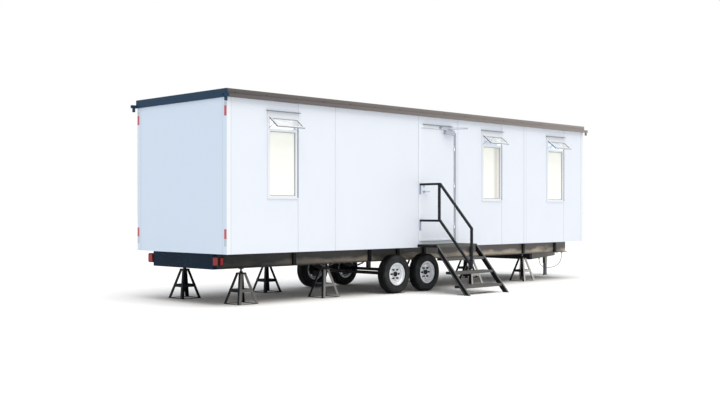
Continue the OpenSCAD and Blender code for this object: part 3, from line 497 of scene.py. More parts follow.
@dataclass(frozen=True)
class RoofTrim(Finish):
    """Roof edge sheet, dusty bronze along the sides with painted light toward the front, and slate at the
    ends.

    Attributes:
        ends: Colour of the faces beyond the box's ends.
        rear: Place of the rear wall along X.
        front: Place of the front wall along X.
        painted_light: Painted light: the colour that the sides lighten to toward the front.
    """

    GRIME: ClassVar[Clouds] = Clouds(6.0, 6.0, (0.35, 1.0, 3.0))
    GRIME_SHARE: ClassVar[float] = 0.3
    GRIME_TINT: ClassVar[float] = 1.5
    END_FACING: ClassVar[float] = 0.7

    ends: Color = (0.02, 0.04, 0.06)
    rear: float = 0.0
    front: float = 0.0
    painted_light: Color = (0.3, 0.25, 0.22)

    def lay(self, coat: Coat) -> None:
        """Lays the painted light toward the front, the grime and the ends' colour.

        Args:
            coat: The surface.
        """
        super().lay(coat)
        along = coat.along("X")
        # Painted light: the sides lighten toward the front.
        coat.paint((along - self.rear) / (self.front - self.rear), self.painted_light)
        coat.paint(coat.noise(self.GRIME) * self.GRIME_SHARE, tinted(self.color, self.GRIME_TINT))
        front_end = (along > self.front) * (coat.facing("X") > self.END_FACING)
        coat.paint((along < self.rear) + front_end, self.ends)


@dataclass(frozen=True)
class SteelPaint(Finish):
    """Dark paint on steel with dust on upward faces, a warm low band of road dirt and painted reflection, a
    few bare scuffs, and painted light on the outer faces toward the front.

    Attributes:
        dust: Colour of the dust on upward faces; on the stairs it is also painted light on their lit tops.
        dust_share: How thick that dust lies.
        dirt_and_glint: Colour of the low band, road dirt and a painted reflection of the warm ground.
        band_low: Height where the band is thickest, in metres.
        band_top: Height where it ends.
        dirt_and_glint_share: How strongly the band shows.
        scuff: Colour of the scuffs.
        scuff_share: How strongly the scuffs show.
        painted_light: Painted light and reflection: the colour that the outer faces lighten to toward the
            front.
        painted_light_share: How far they lighten.
        rear: Place along X where the painted light and the low band start.
        front: Place along X where they are full.
        middle: Place along Y that the outer faces look away from.
    """

    SIDE_SPAN: ClassVar[Span] = (0.4, 0.7)
    ALONG_SPAN: ClassVar[Span] = (0.0, 1.0)
    ALONG_FOOT: ClassVar[float] = 0.04
    UP_SPAN: ClassVar[Span] = (0.35, 0.95)
    SPECKLE: ClassVar[Clouds] = Clouds(14.0, 6.0)
    SPECKLE_LEVELS: ClassVar[Span] = (0.55, 0.9)
    SMEAR: ClassVar[Clouds] = Clouds(2.4, 9.0, (1.0, 1.0, 2.5))
    SMEAR_SWING: ClassVar[float] = 2.0
    BAND_SPAN: ClassVar[Span] = (0.25, 0.95)
    SCUFFS: ClassVar[Clouds] = Clouds(38.0, 8.0)
    SCUFF_SPAN: ClassVar[Span] = (0.64, 0.72)
    DUST_ROUGH: ClassVar[float] = 0.3
    BAND_ROUGH: ClassVar[float] = 0.2

    dust: Color = (0.2, 0.2, 0.2)
    dust_share: float = 0.6
    dirt_and_glint: Color = (0.22, 0.17, 0.12)
    band_low: float = 0.565
    band_top: float = 0.7
    dirt_and_glint_share: float = 0.0
    scuff: Color = (0.22, 0.23, 0.24)
    scuff_share: float = 0.3
    painted_light: Color = (0.2, 0.2, 0.2)
    painted_light_share: float = 0.0
    rear: float = -1.0
    front: float = 1.0
    middle: float = 0.0

    def lay(self, coat: Coat) -> None:
        """Lays the painted light, the scuffs, the low band and the dust.

        Args:
            coat: The surface.
        """
        super().lay(coat)
        share = (coat.along("X") - self.rear) / (self.front - self.rear)
        # Outer faces toward the front, which take the painted light and the low band.
        outer_front = coat.rise(share, self.ALONG_SPAN, foot=self.ALONG_FOOT)
        outer_front = outer_front * coat.rise(coat.outward(self.middle), self.SIDE_SPAN)
        level = coat.along("Z")
        height = (self.band_top - level) / (self.band_top - self.band_low)
        # The low band is road dirt and a painted reflection of the warm ground on the glossy paint.
        smeared = height + coat.ripple(self.SMEAR, self.SMEAR_SWING)
        band = coat.rise(smeared, self.BAND_SPAN, self.dirt_and_glint_share) * outer_front * (level > self.band_low)
        thin, spread = self.SPECKLE_LEVELS
        speckle = thin + spread * coat.noise(self.SPECKLE)
        # Dust on upward faces; on the stairs it is also painted light on their lit tops.
        tops_dust_and_light = coat.rise(coat.facing("Z"), self.UP_SPAN, self.dust_share) * speckle
        # Painted light: the outer faces lighten toward the front, a painted reflection of the bright
        # surroundings and of sunlight.
        coat.paint(outer_front * self.painted_light_share, self.painted_light)
        coat.paint(coat.rise(coat.noise(self.SCUFFS), self.SCUFF_SPAN, self.scuff_share), self.scuff)
        coat.paint(band, self.dirt_and_glint)
        coat.paint(tops_dust_and_light, self.dust)
        coat.inputs["Roughness"] += self.DUST_ROUGH * tops_dust_and_light + self.BAND_ROUGH * band


@dataclass(frozen=True)
class Rubber(Finish):
    """Tyre rubber, dusty in patches and greyer on its sidewalls.

    Attributes:
        dust: Colour of the dust.
        sidewall: Colour of the sidewalls.
    """

    PATCHES: ClassVar[Clouds] = Clouds(11.0, 7.0)
    PATCH_SPAN: ClassVar[Span] = (0.4, 0.75)
    PATCH_SHARE: ClassVar[float] = 0.6
    SIDE_SPAN: ClassVar[Span] = (0.55, 0.9)
    TREAD_SHARE: ClassVar[float] = 0.3

    dust: Color = (0.09, 0.085, 0.08)
    sidewall: Color = (0.03, 0.03, 0.03)

    def lay(self, coat: Coat) -> None:
        """Lays the sidewalls' grey and the dust, which is thinner on the tread.

        Args:
            coat: The surface.
        """
        super().lay(coat)
        side = coat.rise(abs(coat.facing("Y")), self.SIDE_SPAN)
        patches = coat.rise(coat.noise(self.PATCHES), self.PATCH_SPAN, self.PATCH_SHARE)
        coat.paint(side, self.sidewall)
        coat.paint(patches * (self.TREAD_SHARE + (1 - self.TREAD_SHARE) * side), self.dust)


@dataclass(frozen=True)
class Frosted(Finish):
    """Milky window glass with a painted glow for the room's light behind it.

    Attributes:
        painted_glow: Brightness of the painted glow that stands in for the light coming through.
        curtain_shade: Colour of the painted shade of the curtain's edge behind the glass.
        curtain_at: Place of the curtain's edge along X.
        curtain_width: Width of its shade.
        curtain_share: How strongly it shows.
    """

    FOLD_SPAN: ClassVar[Span] = (0.0, 1.0)

    painted_glow: float = 0.14
    curtain_shade: Color = (0.52, 0.47, 0.44)
    curtain_at: float = 0.0
    curtain_width: float = 0.11
    curtain_share: float = 0.75

    def lay(self, coat: Coat) -> None:
        """Lays the milky colour with the painted shade of the curtain, and gives both a painted glow.

        Args:
            coat: The surface.
        """
        super().lay(coat)
        fold = 1.0 - abs(coat.along("X") - self.curtain_at) / self.curtain_width
        shown = coat.rise(fold, self.FOLD_SPAN, self.curtain_share)
        glow_tint = coat.mix(shown, self.color, self.curtain_shade)
        # Painted light: the glass glows, and the curtain's painted shade glows with it.
        coat.inputs |= {"Base Color": glow_tint, "Emission Color": glow_tint, "Emission Strength": self.painted_glow}


@dataclass(frozen=True)
class Clear(Finish):
    """Thin clear glass.

    Attributes:
        cover: How much of what lies behind is covered.
    """

    FILM: ClassVar[Clouds] = Clouds(4.0)
    FILM_SWING: ClassVar[float] = 0.1

    cover: float = 0.4

    def lay(self, coat: Coat) -> None:
        """Lays the glass with a faint film.

        Args:
            coat: The surface.
        """
        super().lay(coat)
        coat.inputs["Alpha"] = self.cover + coat.ripple(self.FILM, self.FILM_SWING)


@dataclass(frozen=True)
class Brushed(Finish):
    """Bare metal with fine lines along X.

    Attributes:
        lines: Lines a metre across their run.
    """

    RUN_SHARE: ClassVar[float] = 0.03
    HAIR_DETAIL: ClassVar[float] = 3.0
    HAIR_SWING: ClassVar[float] = 0.22

    lines: float = 900.0

    def lay(self, coat: Coat) -> None:
        """Lays the metal with its lines.

        Args:
            coat: The surface.
        """
        super().lay(coat)
        hairs = Clouds(1.0, self.HAIR_DETAIL, (self.lines * self.RUN_SHARE, self.lines, self.lines))
        coat.inputs["Roughness"] = self.rough + coat.ripple(hairs, self.HAIR_SWING)


@dataclass(frozen=True)
class Boards(Finish):
    """Floor boards laid along X with dark joints.

    Attributes:
        board: Width of a board, in metres.
        joint: Width of a joint.
    """

    WOOD: ClassVar[Clouds] = Clouds(5.0, 6.0, (0.4, 9.0, 9.0))
    WORN_TINT: ClassVar[float] = 0.55
    JOINT_TINT: ClassVar[float] = 0.15

    board: float = 0.18
    joint: float = 0.004

    def lay(self, coat: Coat) -> None:
        """Lays the wood's grain and the joints.

        Args:
            coat: The surface.
        """
        super().lay(coat)
        coat.paint(coat.noise(self.WOOD), tinted(self.color, self.WORN_TINT))
        coat.paint((coat.along("Y") % self.board) < self.joint, tinted(self.color, self.JOINT_TINT))


class Repeat:
    """What repeats: a Geometry Nodes tree, and the plain mesh that comes of it.

    Attributes:
        name: The tree's name.
        sockets: Type of each named input, apart from the material.
    """

    FACING: ClassVar[str] = "facing"

    name: str = ""
    sockets: dict[str, str] = {}

    def grow(self, graph: Graph, given: dict[str, Wire]) -> Wire:
        """Makes the instances, each kind of repeat in its own way.

        Args:
            graph: The tree's graph.
            given: The tree's inputs by name.

        Returns:
            The instances.
        """
        raise NotImplementedError

    def tree(self) -> bpy.types.NodeTree:
        """Makes the tree once and finds it again later.

        Returns:
            The tree, which ends in Realize Instances and Set Material.
        """
        found = bpy.data.node_groups.get(self.name)
        if found:
            return found
        made = bpy.data.node_groups.new(self.name, "GeometryNodeTree")
        made.interface.new_socket("Geometry", in_out="OUTPUT", socket_type="NodeSocketGeometry")
        kinds = {**self.sockets, "Material": "Material"}
        for label, kind in kinds.items():
            made.interface.new_socket(label, in_out="INPUT", socket_type=f"NodeSocket{kind}")
        graph = Graph(made)
        given = {label: graph.node("NodeGroupInput", output=label) for label in kinds}
        solid = graph.node("GeometryNodeRealizeInstances", inputs={"Geometry": self.grow(graph, given)})
        painted = {"Geometry": solid, "Material": given["Material"]}
        graph.node("NodeGroupOutput", inputs={0: graph.node("GeometryNodeSetMaterial", inputs=painted)})
        return made

    def run(self, finish: Finish, values: dict[str, Any], points: Sequence[Spot] = ()) -> bpy.types.Mesh:
        """Runs the tree and keeps its result.

        Args:
            finish: Finish of the result.
            values: Value of each named input.
            points: Places and facings of the points that it starts from, if it takes any.

        Returns:
            A plain mesh in the row frame.
        """
        tree = self.tree()
        given = {**values, "Material": finish.material()}
        mesh = bpy.data.meshes.new(tree.name)
        mesh.from_pydata([place for place, _ in points], [], [])
        if points:
            facing = mesh.attributes.new(self.FACING, "FLOAT_VECTOR", "POINT")
            facing.data.foreach_set("vector", [part for _, way in points for part in way])
        holder = bpy.data.objects.new(tree.name, mesh)
        bpy.context.scene.collection.objects.link(holder)
        modifier = holder.modifiers.new("repeat", "NODES")
        modifier.node_group = tree
        for item in tree.interface.items_tree:
            if item.in_out == "INPUT" and item.name in given:
                modifier[item.identifier] = given[item.name]
        bpy.context.view_layer.update()
        shown = holder.evaluated_get(bpy.context.evaluated_depsgraph_get())
        result = bpy.data.meshes.new_from_object(shown)
        holder.modifiers.remove(modifier)
        bpy.data.objects.remove(holder)
        bpy.data.meshes.remove(mesh)
        return result


class Head(Enum):
    """Form of a fastener's head, with its height and rounding as shares of its radius."""

    DOME = (0.45, 0.0)
    HEX = (1.1, 0.08)

    @property
    def height(self) -> float:
        """Height as a share of the radius."""
        return self.value[0]

    @property
    def rounding(self) -> float:
        """Width of the rounded edges as a share of the radius."""
        return self.value[1]


class Heads(Repeat):
    """Fastener heads on points, each square to its point's facing.

    Attributes:
        head: Form of the heads.
    """

    HEX_SIDES: ClassVar[int] = 6
    DOME_STEPS: ClassVar[int] = 10
    DOME_RINGS: ClassVar[int] = 5

    sockets = {"Points": "Geometry", "Radius": "Float", "Height": "Float"}

    def __init__(self, head: Head) -> None:
        """Names the tree after the form of its heads."""
        self.head = head
        self.name = f"{head.name.lower()}_heads"

    def grow(self, graph: Graph, given: dict[str, Wire]) -> Wire:
        """Sets a head on each point.

        Args:
            graph: The tree's graph.
            given: The tree's inputs by name.

        Returns:
            The instances.
        """
        radius, height = given["Radius"], given["Height"]
        if self.head is Head.HEX:
            sizes = {"Vertices": self.HEX_SIDES, "Radius": radius, "Depth": height}
            shape = graph.node("GeometryNodeMeshCylinder", inputs=sizes)
        else:
            sizes = {"Segments": self.DOME_STEPS, "Rings": self.DOME_RINGS, "Radius": radius}
            ball = graph.node("GeometryNodeMeshUVSphere", inputs=sizes)
            flat = graph.node("ShaderNodeCombineXYZ", inputs={0: 1.0, 1: 1.0, 2: height / radius})
            shape = graph.node("GeometryNodeTransform", inputs={"Geometry": ball, "Scale": flat})
        named = {"data_type": "FLOAT_VECTOR"}
        facing = graph.node("GeometryNodeInputNamedAttribute", named, {"Name": self.FACING})
        turn = graph.node("FunctionNodeAlignRotationToVector", {"axis": "Z"}, {"Vector": facing})
        spots = {"Points": given["Points"], "Instance": shape, "Rotation": turn}
        return graph.node("GeometryNodeInstanceOnPoints", inputs=spots)


class BarRow(Repeat):
    """A straight bar that repeats in a row."""

    name = "bar_row"
    sockets = {"Start": "Vector", "Step": "Vector", "Count": "Int", "Size": "Vector", "Turn": "Rotation"}

    def grow(self, graph: Graph, given: dict[str, Wire]) -> Wire:
        """Sets a bar at each step.

        Args:
            graph: The tree's graph.
            given: The tree's inputs by name.

        Returns:
            The instances.
        """
        row = {"Count": given["Count"], "Start Location": given["Start"], "Offset": given["Step"]}
        line = graph.node("GeometryNodeMeshLine", {"mode": "OFFSET"}, row)
        bar = graph.node("GeometryNodeMeshCube", inputs={"Size": given["Size"]})
        spots = {"Points": line, "Instance": bar, "Rotation": given["Turn"]}
        return graph.node("GeometryNodeInstanceOnPoints", inputs=spots)


class ChequerPlate(Repeat):
    """Raised lozenges over a flat plate, turned by quarters in turn."""

    SIDES: ClassVar[int] = 6
    TOP_SHARE: ClassVar[float] = 0.55

    name = "chequer_plate"
    sockets = {
        "Centre": "Vector", "Length": "Float", "Depth": "Float", "Columns": "Int", "Rows": "Int",
        "Lozenge": "Vector",
    }

    def grow(self, graph: Graph, given: dict[str, Wire]) -> Wire:
        """Sets a lozenge on each point of a grid.

        Args:
            graph: The tree's graph.
            given: The tree's inputs by name.

        Returns:
            The instances.
        """
        sizes = {"Size X": given["Length"], "Size Y": given["Depth"]}
        sizes |= {"Vertices X": given["Columns"], "Vertices Y": given["Rows"]}
        grid = graph.node("GeometryNodeMeshGrid", inputs=sizes)
        cone = {"Vertices": self.SIDES, "Radius Top": self.TOP_SHARE, "Radius Bottom": 1.0, "Depth": 1.0}
        stud = graph.node("GeometryNodeMeshCone", inputs=cone)
        long = graph.node("GeometryNodeTransform", inputs={"Geometry": stud, "Scale": given["Lozenge"]})
        angle = (graph.node("GeometryNodeInputIndex") % 2.0) * (math.pi / 2) + math.pi / 4
        turn = graph.node("ShaderNodeCombineXYZ", inputs={2: angle})
        spots = {"Points": grid, "Instance": long, "Rotation": turn}
        lozenges = graph.node("GeometryNodeInstanceOnPoints", inputs=spots)
        placed = {"Geometry": lozenges, "Translation": given["Centre"]}
        return graph.node("GeometryNodeTransform", inputs=placed)


class TreadBlocks(Repeat):
    """Staggered rows of rubber blocks round a tyre whose axle lies along Y."""

    name = "tread_blocks"
    sockets = {
        "Centre": "Vector", "Radius": "Float", "Count": "Int", "Rows": "Int", "Spacing": "Float",
        "Block": "Vector",
    }

    def grow(self, graph: Graph, given: dict[str, Wire]) -> Wire:
        """Sets the blocks of one row round a ring, and the rows side by side.

        Args:
            graph: The tree's graph.
            given: The tree's inputs by name.

        Returns:
            The instances.
        """
        round_tyre = {"Vertices": given["Count"], "Radius": given["Radius"]}
        ring = graph.node("GeometryNodeMeshCircle", inputs=round_tyre)
        block = graph.node("GeometryNodeMeshCube", inputs={"Size": given["Block"]})
        out = graph.node("GeometryNodeInputPosition")
        axes = {"axis": "X", "pivot_axis": "Z"}
        turn = graph.node("FunctionNodeAlignRotationToVector", axes, {"Vector": out})
        spots = {"Points": ring, "Instance": block, "Rotation": turn}
        lugs = graph.node("GeometryNodeInstanceOnPoints", inputs=spots)
        one = graph.node("GeometryNodeRealizeInstances", inputs={"Geometry": lugs})
        first = given["Spacing"] * (given["Rows"] - 1.0) * -0.5
        start = graph.node("ShaderNodeCombineXYZ", inputs={2: first})
        step = graph.node("ShaderNodeCombineXYZ", inputs={2: given["Spacing"]})
        row = {"Count": given["Rows"], "Start Location": start, "Offset": step}
        line = graph.node("GeometryNodeMeshLine", {"mode": "OFFSET"}, row)
        stagger = (graph.node("GeometryNodeInputIndex") % 2.0) * math.pi / given["Count"]
        shift = graph.node("ShaderNodeCombineXYZ", inputs={2: stagger})
        spots = {"Points": line, "Instance": one, "Rotation": shift}
        rows = graph.node("GeometryNodeInstanceOnPoints", inputs=spots)
        upright = {"Geometry": rows, "Rotation": (math.pi / 2, 0.0, 0.0), "Translation": given["Centre"]}
        return graph.node("GeometryNodeTransform", inputs=upright)


class ScrewThreads(Repeat):
    """Screw threads that wind upward from points."""

    TURN_STEPS: ClassVar[int] = 20
    RIDGE_SIDES: ClassVar[int] = 5

    name = "screw_threads"
    sockets = {
        "Points": "Geometry", "Radius": "Float", "Turns": "Float", "Height": "Float", "Ridge": "Float",
    }

    def grow(self, graph: Graph, given: dict[str, Wire]) -> Wire:
        """Winds a thread on each point.

        Args:
            graph: The tree's graph.
            given: The tree's inputs by name.

        Returns:
            The instances.
        """
        winding = {"Resolution": self.TURN_STEPS, "Rotations": given["Turns"], "Height": given["Height"]}
        winding |= {"Start Radius": given["Radius"], "End Radius": given["Radius"]}
        spiral = graph.node("GeometryNodeCurveSpiral", inputs=winding)
        section = {"Resolution": self.RIDGE_SIDES, "Radius": given["Ridge"]}
        ridge = graph.node("GeometryNodeCurvePrimitiveCircle", inputs=section)
        bar = {"Curve": spiral, "Profile Curve": ridge, "Fill Caps": True}
        thread = graph.node("GeometryNodeCurveToMesh", inputs=bar)
        spots = {"Points": given["Points"], "Instance": thread}
        return graph.node("GeometryNodeInstanceOnPoints", inputs=spots)


class Blank:
    """A mesh under construction in the row frame, which ends as one piece on one body."""

    SHARP = math.radians(35)
    SEAM = 0.00002
    FLAT = math.radians(0.5)
    EDGE_STEPS = 2

    def __init__(self) -> None:
        """Starts with nothing."""
        self.form = bmesh.new()

    def box(self, low: Sequence[float], high: Sequence[float]) -> None:
        """Adds an upright block.

        Args:
            low: Its lowest corner.
            high: Its highest corner.
        """
        size = Vector(high) - Vector(low)
        place = Matrix.Translation((Vector(low) + Vector(high)) / 2) @ Matrix.Diagonal((*size, 1.0))
        bmesh.ops.create_cube(self.form, size=1.0, matrix=place)

    def pair(self, low: Vector, high: Vector) -> None:
        """Adds an upright block and its like on the far side.

        Args:
            low: The near block's lowest corner.
            high: Its highest corner.
        """
        self.box(low, high)
        inner, outer = Site.mirrored(high).y, Site.mirrored(low).y
        self.box((low.x, inner, low.z), (high.x, outer, high.z))

    def lathe(self, centre: Vector, way: Vector, profile: Sequence[Span], steps: int) -> None:
        """Turns a closed outline about an axis.

        Args:
            centre: Point of the axis where the outline's offsets start.
            way: Direction of the axis.
            profile: Radius and offset of each point of the outline, in order.
            steps: Steps round the axis.
        """
        along = way.normalized()
        side = along.orthogonal().normalized()
        across = along.cross(side)
        rings = []
        for step in range(steps):
            angle = math.tau * step / steps
            out = side * math.cos(angle) + across * math.sin(angle)
            places = [centre + out * radius + along * offset for radius, offset in profile]
            rings.append([self.form.verts.new(place) for place in places])
        for step, ring in enumerate(rings):
            after = rings[(step + 1) % steps]
            for i in range(len(profile)):
                j = (i + 1) % len(profile)
                self._face([ring[i], ring[j], after[j], after[i]])

    def _face(self, corners: list[bmesh.types.BMVert]) -> None:
        """Adds a face, leaving out corners that lie on one another.

        Args:
            corners: The face's corners, in order.
        """
        distinct: list[bmesh.types.BMVert] = []
        for corner in corners:
            if all((corner.co - other.co).length > self.SEAM for other in distinct):
                distinct.append(corner)
        if len(distinct) > 2:
            self.form.faces.new(distinct)

    def tube(self, path: Sequence[Vector], radius: float, sides: int) -> None:
        """Draws a round bar along a path, with closed ends.

        Args:
            path: Points of the bar's centre line.
            radius: Radius of the bar.
            sides: Sides of the bar.
        """
        rings = []
        turns = [math.tau * k / sides for k in range(sides)]
        side = (path[1] - path[0]).orthogonal().normalized()
        for i, point in enumerate(path):
            way = (path[min(i + 1, len(path) - 1)] - path[max(i - 1, 0)]).normalized()
            side = (side - way * side.dot(way)).normalized()
            across = way.cross(side)
            spots = [point + (side * math.cos(a) + across * math.sin(a)) * radius for a in turns]
            rings.append([self.form.verts.new(spot) for spot in spots])
        for ring, after in zip(rings, rings[1:]):
            for k in range(sides):
                n = (k + 1) % sides
                self.form.faces.new([ring[k], ring[n], after[n], after[k]])
        self.form.faces.new(list(reversed(rings[0])))
        self.form.faces.new(rings[-1])

    def mesh(self, made: bpy.types.Mesh) -> None:
        """Adds a finished mesh and frees it."""
        self.form.from_mesh(made)
        bpy.data.meshes.remove(made)

    def node(self, name: str) -> None:
        """Adds a merged copy of a CAD node, with its flat faces in one piece.

        Args:
            name: The node.
        """
        self.form.from_mesh(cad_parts[name].data)
        bmesh.ops.remove_doubles(self.form, verts=self.form.verts, dist=self.SEAM)
        lines = [edge for edge in self.form.edges if edge.is_manifold]
        bmesh.ops.dissolve_limit(self.form, angle_limit=self.FLAT, verts=self.form.verts, edges=lines)

    def piece(
        self,
        name: str,
        finish: Finish,
        body: str,
        replaces: Iterable[str] = (),
        bevel: float = Edge.NONE,
    ) -> None:
        """Ends the mesh as a piece.

        Args:
            name: The piece's name.
            finish: Its finish.
            body: The CAD body that it rides on.
            replaces: CAD nodes that it stands for.
            bevel: Width of its rounded edges.
        """
        bmesh.ops.remove_doubles(self.form, verts=self.form.verts, dist=self.SEAM)
        bmesh.ops.recalc_face_normals(self.form, faces=self.form.faces)
        mesh = bpy.data.meshes.new(name)
        self.form.to_mesh(mesh)
        self.form.free()
        mesh.materials.clear()
        mesh.materials.append(finish.material())
        mesh.polygons.foreach_set("material_index", [0] * len(mesh.polygons))
        mesh.shade_smooth()
        mesh.set_sharp_from_angle(angle=self.SHARP)
        made = bpy.data.objects.new(name, mesh)
        bpy.context.scene.collection.objects.link(made)
        if bevel:
            rounded = made.modifiers.new("rounded_edges", "BEVEL")
            rounded.width = bevel
            rounded.segments = self.EDGE_STEPS
            rounded.limit_method = "ANGLE"
            rounded.angle_limit = self.SHARP
            rounded.harden_normals = True
        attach(made, body)
        names = list(replaces)
        if names:
            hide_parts(*names)
        log.info("%s on %s, %d faces", name, body, len(mesh.polygons))


def dress(finish: Finish, *nodes: str) -> None:
    """Gives CAD nodes that stay as they are a finish.

    Args:
        finish: The finish.
        nodes: Names of the nodes.
    """
    for name in nodes:
        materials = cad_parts[name].data.materials
        materials.clear()
        materials.append(finish.material())
        log.info("%s dressed in %s", name, finish.name)


def soften(node: str, finish: Finish, body: str, bevel: float) -> None:
    """Stands a copy with rounded edges in for a CAD node.

    Args:
        node: The node.
        finish: The copy's finish.
        body: The body that it rides on.
        bevel: Width of the rounded edges.
    """
    blank = Blank()
    blank.node(node)
    blank.piece(f"{node}_rounded", finish, body, [node], bevel)


def fasten(
    name: str,
    head: Head,
    finish: Finish,
    spots: Sequence[Spot],
    radius: float,
    body: str = CABIN,
) -> None:
    """Sets fastener heads on a body.

    Args:
        name: The piece's name.
        head: Form of the heads.
        finish: Their finish.
        spots: Place and facing of each head.
        radius: Radius of a head, over its corners if it has any.
        body: The body that they ride on.
    """
    blank = Blank()
    blank.mesh(Heads(head).run(finish, {"Radius": radius, "Height": radius * head.height}, spots))
    blank.piece(name, finish, body, bevel=radius * head.rounding)


# Painted shade: the wall sheet and the corner trims take the cooler ends colour on faces that look along X.
WALL = WallSkin("wall_sheet", shade(234, 239, 248), rough=0.38, coat=0.15, clouds=0.012, grain=0.00008)
CORNERS = WallSkin("corner_trim_paint", shade(240, 244, 249), rough=0.32, clouds=0.01, dust_share=0.0)
TRIM = Finish("wall_trim_paint", shade(240, 244, 249), rough=0.32, coat=0.25, clouds=0.01, grain=0.00006)
SEAM = Finish("joint_trim_paint", shade(214, 219, 230), rough=0.36, coat=0.2, clouds=0.02, grain=0.00006)
# Painted light: the side trim lightens toward the front.
BRONZE = RoofTrim(
    "roof_edge_paint", shade(98, 93, 93), rough=0.5, clouds=0.08, ends=shade(34, 60, 84), shine=0.15,
    rear=Site.REAR + WALL_SLACK, front=Site.FRONT - WALL_SLACK, painted_light=shade(152, 144, 139),
)
# Painted shade: the roof sheet takes the cooler ends colour on faces that look along X.
ROOF = WallSkin(
    "roof_sheet_paint", shade(196, 200, 204), rough=0.45, clouds=0.03, dust_top=3.4, dust_low=3.2,
)
FRAMES = Finish("window_frame_paint", shade(236, 239, 244), rough=0.3, coat=0.2, clouds=0.012, grain=0.00005)
# Painted light: the glass glows, with the painted shade of a curtain behind the second window.
GLASS = Frosted(
    "milky_glass", shade(244, 245, 236), rough=0.12, coat=0.3, clouds=0.01, grain=0.00002,
    curtain_at=Site.REAR + 6.66,
)
CLEAR = Clear("clear_glass", shade(226, 230, 230), rough=0.06, clouds=0.01, grain=0.00001)
GASKET = Finish("glazing_gasket", shade(160, 164, 168), rough=0.7, clouds=0.05)
# Painted shadow: dark lines in the gaps beside the window flanges and the door casing.
GAP_SHADOW = Finish("gap_shadow_paint", shade(52, 58, 74), rough=0.7, clouds=0.08, shine=0.2)
# Painted shadow: thin lines along the corner trims' edges.
EDGE_SHADOW = Finish("trim_edge_shadow", shade(196, 200, 211), rough=0.5, clouds=0.03)
# Painted shade: the sash's faces that look along X and its lower edge take a dark grey.
SASH = SashPaint(
    "sash_paint", shade(228, 231, 233), rough=0.3, ends=shade(112, 117, 128), dust_share=0.0,
    middle=Site.MIDDLE,
)
# Painted shade: the drip hoods take a grey that stands in for the shade along their lower edge.
HOOD_SHADE = Finish("hood_shade_grey", shade(126, 131, 141), rough=0.4, clouds=0.05, shine=0.3)
HARDWARE = Brushed("steel_hardware", shade(176, 180, 186), rough=0.3, metal=0.85, clouds=0.04, grain=0.00002)
CLOSER = Finish("closer_enamel", shade(178, 184, 194), rough=0.34, metal=0.25, coat=0.3, clouds=0.03)
ZINC = Brushed("zinc_plate", shade(118, 122, 130), rough=0.45, metal=0.4, clouds=0.08)
# Painted light: the beams' outer faces lighten toward the front, a painted reflection; their low band is road
# dirt and painted reflection.
BLACK = SteelPaint(
    "chassis_paint", shade(26, 28, 31), rough=0.36, clouds=0.12, grain=0.00012, shine=0.2, dust_share=0.35,
    dirt_and_glint=shade(236, 221, 198), dirt_and_glint_share=1.0, band_low=0.578, band_top=0.715, rear=Site.REAR + 1.0,
    front=Site.REAR + 6.0, painted_light=shade(118, 117, 115), painted_light_share=0.85, middle=Site.MIDDLE,
)
HITCH = SteelPaint("hitch_paint", shade(74, 71, 69), rough=0.45, clouds=0.14, dust_share=0.4, shine=0.15)
REAR_BLACK = SteelPaint(
    "end_beam_paint", shade(14, 36, 54), rough=0.45, clouds=0.2, grain=0.00012, dust_share=0.3, shine=0.06,
)
# Painted light: the stands' outer faces lighten as if lit from the door side.
STANDS = SteelPaint(
    "stand_paint", shade(22, 25, 31), rough=0.5, clouds=0.14, dust=shade(120, 122, 124), shine=0.12,
    painted_light=shade(215, 212, 205), painted_light_share=0.85, rear=Site.REAR - 1.5, front=Site.REAR + 8.0,
    middle=Site.MIDDLE,
)
# Painted light: the stairs' outer faces lighten, and their light dust also paints the light on their lit
# tops.
STAIRS = SteelPaint(
    "stair_paint", shade(20, 22, 27), rough=0.5, clouds=0.12, dust=shade(102, 103, 101), dust_share=1.0,
    shine=0.15, painted_light=shade(118, 118, 114), painted_light_share=0.66, rear=Site.REAR - 1.0, front=Site.REAR + 3.0,
    middle=Site.MIDDLE,
)
RAIL = SteelPaint("rail_paint", shade(20, 25, 31), rough=0.4, clouds=0.1, dust=shade(52, 56, 62), shine=0.2)
PLATES = Finish("rail_plate_paint", shade(148, 163, 190), rough=0.45, clouds=0.05)
TYRES = Rubber(
    "road_rubber", shade(8, 9, 13), rough=0.72, clouds=0.12, grain=0.0004, grain_scale=140.0, shine=0.12,
    dust=shade(74, 76, 75), sidewall=shade(43, 45, 46),
)
RIMS = SteelPaint(
    "rim_enamel", shade(243, 247, 254), rough=0.28, coat=0.4, clouds=0.02, dust_share=0.1,
    scuff=shade(170, 170, 170), scuff_share=0.08,
)
HUBS = SteelPaint("hub_paint", shade(24, 26, 30), rough=0.45, clouds=0.1, dust=shade(70, 70, 72), shine=0.15)
LENS = Finish("ribbed_red", shade(152, 10, 20), rough=0.2, coat=0.1, clouds=0.15, grain=0.00003, shine=0.3)
TAPE_RED = Finish("marker_red", shade(196, 62, 78), rough=0.3, coat=0.4, clouds=0.04, grain_scale=420.0)
TAPE_SILVER = Finish("marker_silver", shade(188, 200, 210), rough=0.32, metal=0.2, coat=0.3, clouds=0.03)
JACKET = Finish("pale_sheath", shade(106, 96, 70), rough=0.5, clouds=0.05)
FLOOR_BOARDS = Boards("floor_boards", shade(150, 126, 98), rough=0.55)


